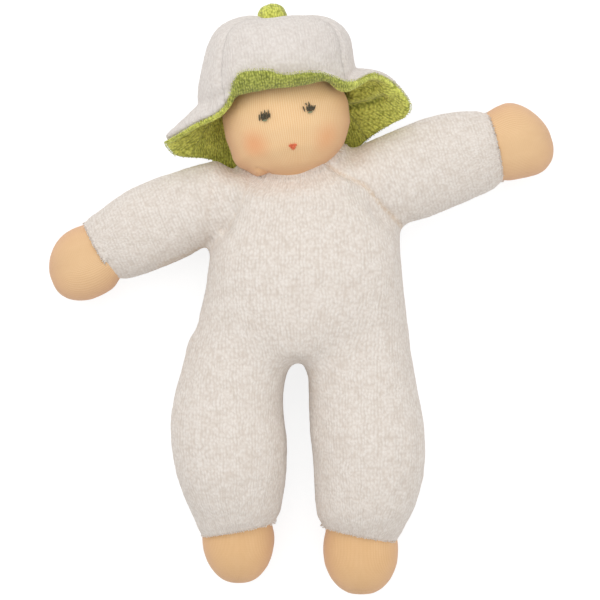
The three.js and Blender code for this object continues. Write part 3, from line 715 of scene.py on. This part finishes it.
def bend_at_root(piece, limb):
    """Bakes the piece's place into its mesh. The joint's span is worked out but not used."""
    root, along = Vector(limb["root"]), Vector(along_of(limb))
    start, end = ((root + along * distance) * MM for distance in limb["bends"])
    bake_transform(piece)


for name, piece in suit_parts.items():
    bend_at_root(piece, LIMBS[name])

# Hands and feet: apricot jersey bags filled with wool, whose necks run up inside the cuffs, where
# the cuff's edge is sewn to them by hand.
HAND_LIGHT = (0.86, 0.59, 0.335, 1)
HAND_SHADE = (0.78, 0.50, 0.265, 1)
# Rosier painted shade for the lower sides of hands and feet.
HAND_LOW_SHADE = (0.76, 0.43, 0.245, 1)
# Painted shade: the feet's colours are deeper copies of the hands'.
FOOT_LIGHT = (0.84, 0.545, 0.29, 1)
FOOT_SHADE = (0.76, 0.46, 0.22, 1)


def jersey_finish(name, shade, light, edge, low, high, blush_and_crease_shade=()):
    """Fine jersey: ribs of small stitches, paler where they stand up; rosier painted shade lower down.
    """
    finish, shader, wire = new_finish(name, Roughness=0.82, Sheen_Weight=0.2, Sheen_Roughness=0.5)
    shader.inputs["Specular IOR Level"].default_value = 0.2
    cloth = wire.node("ShaderNodeAttribute", outlet="Vector", attribute_name="cloth")
    round_it, along = cloth.part(0), cloth.part(1)
    wobble = wire.noise(cloth, 1.6, 2)
    rib = wire.sum("PINGPONG", round_it + wobble * 0.25, 0.4) * 2.5
    stitch = wire.sum("SINE", along * 10.5 + rib * 1.6)
    height = rib.step(0.0, 0.8) * (stitch * 0.18 + 0.82) + wire.noise(cloth, 0.25, 1) * 0.15
    patches = wire.noise(cloth, 6.0, 2)
    colour = (height * 0.75 + patches * 0.5).step(0.25, 1.1).blend(shade, light)
    place = wire.node("ShaderNodeTexCoord", outlet="Object")
    # Painted shade: lower down, towards the table, the colour turns to the rosier edge colour.
    colour = (place.part(2).step(low * MM, high * MM) * 0.85 + 0.15).blend(edge, colour)
    for middle, radius, tint, strength in blush_and_crease_shade:
        ends = {0: place, 1: middle}
        far = wire.node("ShaderNodeVectorMath", ends, outlet=1, operation="DISTANCE")
        colour = ((1 - far.step(0.0, radius)) * strength).blend(colour, tint)
    lead(colour, shader.inputs["Base Color"])
    raise_by(height, shader, 0.35, 0.18)
    return finish


def dressed(piece, finish, body, *nodes, slot=None, fill=None):
    """Gives the piece its finish, makes it ride on its body and hides the nodes it stands for."""
    piece.data.materials.clear()
    piece.data.materials.append(finish)
    pick(piece)
    bpy.ops.object.shade_smooth()
    if body:
        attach(piece, body)
    if nodes:
        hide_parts(*nodes)


jersey_hands = jersey_finish("jersey_hands", HAND_SHADE, HAND_LIGHT, HAND_LOW_SHADE, 10, 23)
# The feet's finish is the hands' in deeper colours, as painted shade.
jersey_feet = jersey_finish("jersey_feet", FOOT_SHADE, FOOT_LIGHT, HAND_LOW_SHADE, 10, 23)
# The feet are slimmed about a middle by a share, and the hands are pulled out a little at one place.
SLIM = {"foot_right": (-21.2, 0.94), "foot_left": (20.4, 0.965)}
FULLER = {
    "hand_right": ((-81.6, 20.4), (9, 9), (-0.6, 0.6, 0)),
    "hand_left": ((73.1, 66.8), (8, 8), (0, 0.8, 0)),
}
JERSEY_WALL = 0.8
for limb in LIMBS.values():
    end, body = limb["end"], limb["body"]
    filling = end.replace("hand", "arm_filling").replace("foot", "leg_filling")
    hand = copy_of(f"jersey_{end}", end, filling)
    worked(hand, "REMESH", mode="VOXEL", voxel_size=1.1 * MM)
    hand = largest_only(hand)
    worked(hand, "SMOOTH", factor=0.5, iterations=12)
    put(hand, places(hand) + normals(hand) * JERSEY_WALL)
    root, along = np.array(limb["root"]), along_of(limb)
    cut(hand, root + along * (limb["cuff"] - 5), -along, reach=200)
    hand = largest_only(hand)
    worked(hand, "SUBSURF", levels=1, render_levels=1)
    if end in SLIM:
        middle, share = SLIM[end]
        points = places(hand)
        points[:, 0] = middle + (points[:, 0] - middle) * share
        points[:, 1] -= 0.5 * rise(-points[:, 1], 85, 98)
        put(hand, points)
    else:
        put(hand, pulled(places(hand), *FULLER[end]))
    laid_on(hand)
    grain(hand, root, along, 12, 11)
    finish = jersey_feet if end in SLIM else jersey_hands
    dressed(hand, finish, body, end, slot="jersey_hands", fill=0.9)

# Head: a ball of wool in a skin of fine pale jersey, tied off at the neck, with its ribs running
# up the face. The cheeks are rubbed with a little orange wax, and the skin folds beside the chin,
# with painted shade in the fold.
FACE_LIGHT = (0.93, 0.655, 0.375, 1)
FACE_SHADE = (0.86, 0.54, 0.275, 1)
# Rosier painted shade for the lower sides of the face and the chin.
FACE_LOW_SHADE = (0.74, 0.40, 0.20, 1)
# Dark brown of the painted shade in the fold beside the chin.
FACE_CREASE_SHADE = (0.42, 0.22, 0.10, 1)
BLUSH = (0.88, 0.31, 0.12, 1)
HEAD_SIDE = Vector((math.cos(HEAD_TILT), math.sin(HEAD_TILT), 0))


def on_face(right, up, height=0.0):
    """The point of the face at a place seen from the front, in millimetres."""
    share = (right / HEAD_HALF_WIDTH) ** 2 + (up / (HEAD_ABOVE if up > 0 else HEAD_BELOW)) ** 2
    depth = HEAD_HALF_WIDTH * math.sqrt(max(1 - share, 0))
    return HEAD_CENTRE + HEAD_SIDE * right + HEAD_UP * up + Vector((0, 0, depth + height))


head = copy_of("jersey_head", "head_skin", "head_ball")
worked(head, "REMESH", mode="VOXEL", voxel_size=1.0 * MM)
head = largest_only(head)
worked(head, "SMOOTH", factor=0.5, iterations=14)
worked(head, "SUBSURF", levels=1, render_levels=1)
for middle, reach, shift in [
    ((-20.5, 46.5), (5.5, 5), (-1.1, -1.7, 0)),
    ((-14.2, 43.2), (2.6, 2.4), (0, -1.3, 0.3)),
]:
    put(head, pulled(places(head), middle, reach, shift))
gap, _ = distance_to(places(head), [(-14.4, 43.6), (-12.6, 43.0), (-10.2, 42.2)])
put(head, places(head) - normals(head) * (0.6 * near(gap, 0.6))[:, None])
grain(head, HEAD_CENTRE, HEAD_UP, HEAD_HALF_WIDTH, HEAD_HALF_WIDTH)
blush_and_crease_shade = [
    (on_face(-11.8, -8.5) * MM, 7.5 * MM, BLUSH, 0.52),
    (on_face(12.5, -9.5) * MM, 7.8 * MM, BLUSH, 0.36),
]
# Painted shade along the fold beside the chin.
for x, y, strength in [(-13.6, 43.3, 0.25), (-12.3, 42.9, 0.5), (-11.0, 42.5, 0.85)]:
    blush_and_crease_shade.append((Vector((x, y, 24)) * MM, 1.6 * MM, FACE_CREASE_SHADE, strength))
jersey_face = jersey_finish("jersey_face", FACE_SHADE, FACE_LIGHT, FACE_LOW_SHADE, 28, 45, blush_and_crease_shade)
dressed(head, jersey_face, "head", "head_skin", slot="jersey_face", fill=0.95)

# Eyes and mouth: embroidered by hand through the skin. Each eye is a round of satin stitches with a
# fan of lashes over it, and the mouth is a small heart of upright stitches.
THREAD_EYE = (0.11, 0.085, 0.045, 1)
THREAD_GLINT = (0.30, 0.36, 0.21, 1)
THREAD_MOUTH = (0.87, 0.25, 0.11, 1)


def thread_finish(name, colour, deep):
    finish, shader, wire = new_finish(name, Roughness=0.7, Sheen_Weight=0.05)
    place = wire.node("ShaderNodeTexCoord", outlet="Object")
    ply = wire.noise(place, 0.3 * MM, 2)
    lead(ply.step(0.3, 0.7).blend(deep, colour), shader.inputs["Base Color"])
    raise_by(ply, shader, 0.4, 0.06)
    return finish


def stitch(right, up, turn, length, thickness, lift=0.05):
    """One stitch that lies on the face: a short rounded thread, turned from the ear line."""
    bpy.ops.mesh.primitive_uv_sphere_add(segments=10, ring_count=7, radius=MM)
    thread = bpy.context.object
    pick(thread)
    thread.scale = (length / 2, thickness / 2, thickness / 2)
    bpy.ops.object.transform_apply(location=False, rotation=False, scale=True)
    place = on_face(right, up, lift)
    outward = (place - HEAD_CENTRE).normalized()
    run = HEAD_SIDE * math.cos(turn) + HEAD_UP * math.sin(turn)
    run = (run - outward * run.dot(outward)).normalized()
    across = outward.cross(run)
    points = places(thread)
    put(thread, points @ np.array([run, across, outward]) + np.array(place))
    return thread


def sewn_from(right, up, here, there, thickness):
    """The stitch of an eye between two places, both measured from the middle of the eye."""
    (x, y), (x2, y2) = here, there
    length = math.hypot(x2 - x, y2 - y)
    turn = math.atan2(y2 - y, x2 - x)
    return stitch(right + (x + x2) / 2, up + (y + y2) / 2, turn, length, thickness, 0.1)


# Stitches of each eye: from where to where, seen from the front, and how thick. Those of the mouth, from
# the doll's right to its left: how far down and up each goes.
EYES = [
    ("eye_right", (-7.2, 0.1), [
        ((-1.8, -1.5), (-1.5, 0.8), 0.5), ((-1.25, -1.3), (-0.7, 1.7), 0.45),
        ((-0.75, -1.6), (-0.45, 0.8), 0.6), ((-0.2, -1.7), (-0.15, 1.1), 0.6),
        ((0.4, -1.5), (0.35, 2.0), 0.5), ((0.9, -1.4), (0.95, 1.2), 0.5),
        ((1.35, -1.2), (1.6, 1.9), 0.4), ((1.7, -1.0), (1.95, 0.6), 0.4),
    ]),
    ("eye_left", (7.8, 0.7), [
        ((-1.6, -1.2), (-2.0, 0.8), 0.42), ((-0.7, 0.9), (-1.0, 1.7), 0.45),
        ((-0.75, -1.1), (-0.65, 0.6), 0.55), ((-0.25, -1.4), (-0.1, 1.0), 0.6),
        ((0.3, -1.5), (0.1, 2.1), 0.5), ((0.75, -1.4), (0.75, 0.9), 0.55),
        ((1.15, -1.2), (1.3, 0.7), 0.5), ((1.3, -0.9), (2.2, 0.7), 0.5),
    ]),
]
MOUTH = [(-0.1, 0.7), (-0.8, 1.05), (-1.3, 1.1), (-1.5, 1.05), (-1.25, 1.1), (-0.75, 1.0), (0, 0.65)]
thread_eye = thread_finish("thread_eye", THREAD_EYE, (0.018, 0.016, 0.008, 1))
thread_glint = thread_finish("thread_glint", THREAD_GLINT, (0.16, 0.19, 0.10, 1))
thread_mouth = thread_finish("thread_mouth", THREAD_MOUTH, (0.60, 0.09, 0.03, 1))
for name, (right, up), stitches in EYES:
    threads = [sewn_from(right, up, *each) for each in stitches]
    eye = joined(f"threads_{name}", *threads)
    dressed(eye, thread_eye, "head", name, slot="thread_eye")
    glint = stitch(right + 0.1, up - 1.55, 0.1, 1.9, 0.5, 0.2)
    glint.name = glint.data.name = f"glint_{name}"
    dressed(glint, thread_glint, "head", slot="thread_eye")
threads = []
for k, (low, high) in enumerate(MOUTH):
    right, up = 0.8 + (k - 3) * 0.38, -11 + (low + high) / 2
    threads.append(stitch(right, up, math.pi / 2, high - low, 0.46))
mouth = joined("threads_mouth", *threads)
dressed(mouth, thread_mouth, "head", "mouth", slot="thread_mouth")

# Hat: a cap of five gores of cream terry that run on into five petals, lined with yellow-green
# terry. The petals over the forehead are folded up, those beside the face flop out, and the last
# hugs the nape.
GREEN_TIP = (0.90, 0.93, 0.20, 1)
GREEN_GROUND_SHADE = (0.23, 0.25, 0.018, 1)
# Dark green of the painted shade on the lining.
GREEN_PAINTED_SHADE = (0.10, 0.13, 0.02, 1)
HAT_TIP = (0.845, 0.79, 0.745, 1)
HAT_GROUND_SHADE = (0.70, 0.635, 0.585, 1)
CLOTH_WALL = 1.5
HAT_VOXEL = 0.55
terry_hat = terry_finish("terry_hat", HAT_GROUND_SHADE, HAT_TIP)
terry_green = terry_finish(
    "terry_green", GREEN_GROUND_SHADE, GREEN_TIP, GREEN_PAINTED_SHADE, depth=0.8, low=0.4, high=1.85, fine=1.3
)

# Crown between its two layers, from the middle outwards and down: distance from the axis, and height
# over the forehead, on the doll's left side, at the nape and on its right side.
CROWN_REACH = [
    (0, 4.5, 9.5, 15, 19.8, 22.8, 24.2, 24.4, 23.6),
    (0, 4.5, 9.8, 15.9, 20.5, 23.1, 23.9, 23.5, 23.8),
    (0, 4.5, 9.5, 15, 19.6, 22.4, 23.7, 23.7, 23.2),
    (0, 4.5, 9, 14.8, 19.2, 22.4, 24.4, 26.2, 27.2),
]
CROWN_HEIGHT = [
    (31.5, 31.6, 31.4, 30.5, 28.3, 24.8, 20.5, 16, 12.8),
    (31.5, 31.6, 31.9, 30.8, 28.6, 25.2, 21.2, 16.5, 13),
    (31.5, 32.5, 32.4, 31.2, 28.6, 24.5, 19, 14, 8),
    (31.5, 34.0, 34.5, 33.5, 31.1, 25.3, 19.6, 14.9, 10.5),
]
CROWN = np.stack([CROWN_REACH, CROWN_HEIGHT], axis=2)
CROWN_ROWS = CROWN.shape[1]
# Petals: the turn round the head's axis, the band's distance from the axis and height there, the rim's
# place to the left of the face, above its middle and in front of it, and how far it bulges on the way.
PETALS = np.array([
    (0, 22.6, 11, -0.2, 11.5, 27.9, -4.0),
    (9, 22.6, 11, 4, 11.0, 27.7, -3.8),
    (17, 22.6, 11, 7.9, 11.1, 26.8, -3.6),
    (26, 22.6, 11.3, 11.7, 10.9, 25.2, -3.0),
    (34, 22.8, 11.8, 14.3, 10.2, 22.8, -2.0),
    (43, 22.9, 11.0, 17.2, 9.2, 20.0, -1.8),
    (52, 23.0, 8, 20.8, 7.2, 18.4, -2.8),
    (61, 23.2, 8, 25.2, 7.6, 15, -2.6),
    (70, 23.8, 9.6, 29.4, 9.6, 10.5, -0.8),
    (78, 24.2, 10.8, 33.2, 9.0, 6, 1.2),
    (85, 24.2, 11.2, 37.2, 6.4, 3, 2.6),
    (92, 24.0, 10.6, 40.2, 2.2, 1, 3.4),
    (99, 23.8, 9, 41.4, -0.9, -1, 3.4),
    (107, 23.6, 6.5, 39.8, -3.7, -5, 3),
    (117, 23.4, 3.5, 34.2, -5.4, -10, 2),
    (128, 23.2, 0.5, 27, -8.4, -15, 1),
    (140, 23, -2, 20.8, -12.4, -17.5, 0.4),
    (155, 22.8, -3.5, 10.8, -13.6, -21.5, 0),
    (180, 22.6, -4, 0, -13, -23.2, 0),
    (205, 22.8, -3.5, -10.8, -13.8, -21.5, 0),
    (218, 23, -2, -19, -14, -18.5, 0.4),
    (228, 23.4, 0.5, -24.3, -11.6, -18, 1),
    (238, 24.2, 3, -27.3, -8, -16, 1.4),
    (247, 25.4, 5, -34.2, -6.6, -12.5, 1.6),
    (255, 26.2, 6.2, -38.8, -5.4, -9.5, 1.6),
    (263, 26.8, 7, -40.9, -1.8, -4, 1),
    (270, 27, 7.5, -39.5, -1.4, 0, 0.8),
    (278, 26.8, 7.8, -35.0, 0.0, 4, 0.8),
    (287, 26.2, 8, -30, 1.6, 8, 0.4),
    (296, 25.2, 8.3, -24.7, 2.6, 12, 0),
    (304, 24.6, 9, -21.2, 4.0, 15.2, -0.2),
    (312, 24.2, 9.8, -18.6, 6.2, 17.4, -0.4),
    (319, 23.6, 10.8, -16.8, 8.8, 20, -1.8),
    (326, 22.9, 10.9, -14.8, 12.2, 23.2, -4.2),
    (334, 22.6, 10.8, -12.1, 14.1, 25.4, -4.9),
    (343, 22.6, 10.8, -7.6, 13.8, 27, -4.9),
    (351, 22.6, 11, -3.0, 13.0, 27.8, -4.4),
])
COLUMNS = 96
PETAL_ROWS = 7


def round_about(rows, count):
    """A smooth line of so many points through rows that follow each other round a ring."""
    place = np.arange(count) * len(rows) / count
    index = place.astype(int)
    t = (place - index)[:, None]
    before, here, after, beyond = (rows[(index + k) % len(rows)] for k in (-1, 0, 1, 2))
    bend = (2 * before - 5 * here + 4 * after - beyond) * t**2
    bend += (3 * (here - after) + beyond - before) * t**3
    return here + ((after - before) * t + bend) / 2


def hat_layer(name, outwards, past_rim):
    """One layer of the hat: a grid laid over the crown and petals and given its wall. Also its rim."""
    turned = PETALS.copy()
    turned[:, 0] = np.unwrap(np.radians(turned[:, 0]))
    turned[:, 0] -= 2 * math.pi * np.arange(len(turned)) / len(turned)
    columns = round_about(turned, COLUMNS)
    turn = columns[:, 0] + 2 * math.pi * np.arange(COLUMNS) / COLUMNS
    sides = [np.cos(turn), np.sin(turn), -np.cos(turn), -np.sin(turn)]
    crown = np.einsum("sc,srk->crk", np.maximum(sides, 0) ** 2, CROWN)
    axes = np.stack([np.sin(turn), np.cos(turn)], axis=1)
    lines = np.empty((COLUMNS + 1, CROWN_ROWS + PETAL_ROWS + 1, 3))
    lines[:-1, :CROWN_ROWS, 0] = crown[:, :, 0] * axes[:, :1]
    lines[:-1, :CROWN_ROWS, 2] = crown[:, :, 0] * axes[:, 1:]
    lines[:-1, :CROWN_ROWS, 1] = crown[:, :, 1]
    band = np.stack([columns[:, 1] * axes[:, 0], columns[:, 2], columns[:, 1] * axes[:, 1]], axis=1)
    rim = columns[:, 3:6].copy()
    bend = band * 0.62 + rim * 0.38
    bend[:, 1] += columns[:, 6]
    rim += unit(rim - bend) * past_rim
    for row in range(PETAL_ROWS + 1):
        t = row / PETAL_ROWS
        petal = band * (1 - t) ** 2 + bend * 2 * t * (1 - t) + rim * t**2
        lines[:-1, CROWN_ROWS + row] = petal
    lines[-1] = lines[0]
    points = lines.transpose(1, 0, 2).reshape(-1, 3)
    rows = lines.shape[1] - 1
    bpy.ops.mesh.primitive_grid_add(x_subdivisions=COLUMNS, y_subdivisions=rows, size=MM)
    layer = bpy.context.object
    layer.name = layer.data.name = name
    middle, axes = np.array(HEAD_CENTRE), np.array([HEAD_SIDE, HEAD_UP, (0, 0, 1)])
    put(layer, middle + points @ axes)
    edit(layer)
    bpy.ops.mesh.remove_doubles(threshold=0.01 * MM)
    bpy.ops.mesh.normals_make_consistent(inside=False)
    bpy.ops.object.mode_set(mode="OBJECT")
    top = max(layer.data.polygons, key=lambda face: face.center.y)
    if top.normal.y < 0:
        edit(layer)
        bpy.ops.mesh.flip_normals()
        bpy.ops.object.mode_set(mode="OBJECT")
    worked(layer, "SUBSURF", levels=2, render_levels=2)
    worked(layer, "SOLIDIFY", thickness=CLOTH_WALL * MM, offset=outwards)
    worked(layer, "REMESH", mode="VOXEL", voxel_size=HAT_VOXEL * MM)
    layer = largest_only(layer)
    worked(layer, "SMOOTH", factor=0.5, iterations=4)
    along = np.roll(rim, -1, axis=0) - np.roll(rim, 1, axis=0)
    reach = unit(rim - bend)
    facing = unit(np.cross(along, reach))
    facing *= np.sign((np.cross(along, reach) * (bend - band)).sum(axis=1).mean() or 1) * outwards
    return layer, (middle + rim @ axes, reach @ axes, facing @ axes)


# The seams between the gores and the gores' middles, as turns round the head's axis from the face.
# The last seam runs down the nape. Each gore takes its pattern from a stretch of cloth of its own.
GORE_SEAMS = [-108, -47, 57, 118, 180]
GORE_MIDDLES = [-149, -77, 5, 87, 149]
GORE_CLOTH = 60


def round_head(points):
    """Each point's turn round the head's axis, its distance from the axis and how far up it is."""
    from_middle = points - np.array(HEAD_CENTRE)
    across, out = from_middle @ np.array(HEAD_SIDE), from_middle[:, 2]
    return np.arctan2(across, out), np.hypot(across, out), from_middle @ np.array(HEAD_UP)


def gore_grain(obj):
    """Stores each point's place on its own gore, whose threads run up to the crown's middle."""
    turn, radius, up = round_head(places(obj))
    gore = np.searchsorted(GORE_SEAMS[:-1], np.degrees(turn))
    across = (turn - np.radians(GORE_MIDDLES)[gore]) * radius + gore * GORE_CLOTH
    stored(obj, "cloth", np.stack([across, up, radius], axis=1))


# The seams pull the crown in, a fold runs through the petal on the doll's left, and the lining lies in
# shade along the fold, at the end of the turned-up band, beside the head and where it stands highest.
SEAM_DEPTH, SEAM_WIDTH = 0.7, 2.1
RIM_SPACING = 0.6
PETAL_FOLD = [(15.7, 65.6), (21.5, 66.4), (27.5, 67.9)]
BAND_END = [(7.5, 72.6), (10.5, 71.9)]
for name, finish, slot, outwards, past_rim in [
    ("hat_shell", terry_hat, "terry_cream", 1, -0.5),
    ("hat_lining", terry_green, "terry_green", -1, 0.9),
]:
    layer, (edge, reach, side_on) = hat_layer(f"terry_{name}", outwards, past_rim)
    points, facing = places(layer), normals(layer)
    turn, radius, up = round_head(points)
    on_crown = SEAM_DEPTH * rise(up, 10, 15) * rise(radius, 3, 8)
    push = np.full(len(points), 0.12)
    for seam in GORE_SEAMS:
        gap = np.angle(np.exp(1j * (turn - math.radians(seam)))) * radius
        push -= on_crown * near(gap, SEAM_WIDTH)
    if name == "hat_lining":
        gap, side = distance_to(points, PETAL_FOLD)
        roll = near(gap - 2.6, 1.8) * (side > 0) - 1.5 * near(gap, 1.3)
        push += roll * rise(facing[:, 2], 0, 0.4)
    put(layer, points + facing * push[:, None])
    pile(layer, loops=0.2, clumps=0.25)
    places_along = np.arange(0, COLUMNS, 0.25)
    corners = np.arange(COLUMNS)
    spots = [np.interp(places_along, corners, line, period=COLUMNS) for line in edge.T]
    spots = np.stack(spots, axis=1)
    kept = every(spots, RIM_SPACING)
    nearest = [int(round(places_along[k])) % COLUMNS for k in kept]
    points = places(layer)
    # Painted shade on the lining: where it stands highest, along the petal's fold, beside the head and
    # at the end of the band.
    painted_lining_shade = 0.75 * rise(points[:, 2], 42, 46)
    gap, _ = distance_to(points, PETAL_FOLD)
    painted_lining_shade = np.maximum(painted_lining_shade, 0.7 * near(gap, 1.2))
    painted_lining_shade = np.maximum(painted_lining_shade, 0.95 * (1 - rise(past_head(points), 1.0, 3.0)))
    gap, _ = distance_to(points, BAND_END)
    painted_lining_shade = np.maximum(painted_lining_shade, 0.8 * near(gap, 1.3))
    stored(layer, "sewn", painted_lining_shade if name == "hat_lining" else painted_lining_shade * 0)
    rings = loop_row(spots[kept], reach[nearest], side_on[nearest], size=0.32)
    layer = joined(layer.name, layer, *rings)
    laid_on(layer)
    gore_grain(layer)
    dressed(layer, finish, None, name, slot=slot)
    start, end = (HEAD_CENTRE - HEAD_UP * 12) * MM, (HEAD_CENTRE + HEAD_UP * 6) * MM
    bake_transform(layer)

# Stem: a small knob of the green terry, stuffed with wool and sewn on by hand in the middle of the
# crown, where the five gores meet.
stem = copy_of("terry_stem", "hat_stem")
worked(stem, "REMESH", mode="VOXEL", voxel_size=0.6 * MM)
worked(stem, "SMOOTH", factor=0.5, iterations=8)
sewn_on = np.array(HEAD_CENTRE + HEAD_UP * 33)
put(stem, sewn_on + (places(stem) - sewn_on) * 1.1)
pile(stem, loops=0.3, clumps=0.3)
gore_grain(stem)
stored(stem, "sewn", np.zeros(len(stem.data.vertices)))
dressed(stem, terry_green, "head", "hat_stem", slot="terry_green", fill=0.9)

# Fillings: carded wool, pushed in by hand in lumps until the trunk, limbs, head and crown are firm.
# They show only inside the cloth.
wool_finish, shader, wire = new_finish("wool", Roughness=0.95, Sheen_Weight=0.3)
place = wire.node("ShaderNodeTexCoord", outlet="Object")
strands = wire.noise(place, 1.2 * MM, 5)
fleece = strands.step(0.3, 0.75).blend((0.78, 0.70, 0.56, 1), (0.93, 0.89, 0.80, 1))
lead(fleece, shader.inputs["Base Color"])
raise_by(strands, shader, 0.5, 0.5)
for name in [
    *["torso_filling_front", "torso_filling_back", "arm_filling_left", "arm_filling_right"],
    *["leg_filling_left", "leg_filling_right", "head_ball", "crown_wadding"],
]:
    lump = copy_of(f"wool_{name}", name)
    worked(lump, "REMESH", mode="VOXEL", voxel_size=1.6 * MM)
    worked(lump, "SMOOTH", factor=0.5, iterations=6)
    tufts = bpy.data.textures.new("wool", "CLOUDS")
    tufts.noise_scale = 3 * MM
    settings = {"texture": tufts, "texture_coords": "LOCAL", "mid_level": 1.0}
    worked(lump, "DISPLACE", strength=0.6 * MM, **settings)
    put(lump, pulled(places(lump) - normals(lump) * 0.5, (-0.5, -21), (9, 9), (0, 5, 0)))
    if "torso" in name:
        put(lump, pulled(places(lump), (-15.5, 42), (7, 7), (0, -2, -3)))
    body = frame["nodes"][name]["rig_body"]
    limb = next((limb for limb in LIMBS.values() if limb["body"] == body), None)
    dressed(lump, wool_finish, None if limb else body, name, slot="wool", fill=0.7)
    if limb:
        bend_at_root(lump, limb)

# Rattle: a drum of white plastic whose lid snaps into its base, with six steel beads loose inside, laid
# in the middle of the trunk's wool. The thread that ties off the neck also keeps its solid's shape.
plastic, shader, wire = new_finish("rattle_plastic", Roughness=0.42)
place = wire.node("ShaderNodeTexCoord", outlet="Object")
speck = wire.noise(place, 0.5 * MM, 3)
moulded = speck.step(0.35, 0.65).blend((0.86, 0.86, 0.83, 1), (0.91, 0.91, 0.885, 1))
lead(moulded, shader.inputs["Base Color"])
raise_by(speck, shader, 0.15, 0.05)
steel, shader, wire = new_finish("bead_steel", Metallic=1.0)
shader.inputs["Base Color"].default_value = (0.48, 0.5, 0.53, 1)
place = wire.node("ShaderNodeTexCoord", outlet="Object")
scuffs = wire.noise(place, 0.4 * MM, 4)
lead(scuffs.step(0.3, 0.7) * 0.2 + 0.18, shader.inputs["Roughness"])
tie_thread = thread_finish("thread_tie", (0.81, 0.72, 0.57, 1), (0.62, 0.52, 0.38, 1))
for word, finish in [("case", plastic), ("bead", steel), ("neck_tie", tie_thread)]:
    for name, node in frame["nodes"].items():
        if word in name:
            node.data.materials.clear()
            node.data.materials.append(finish)
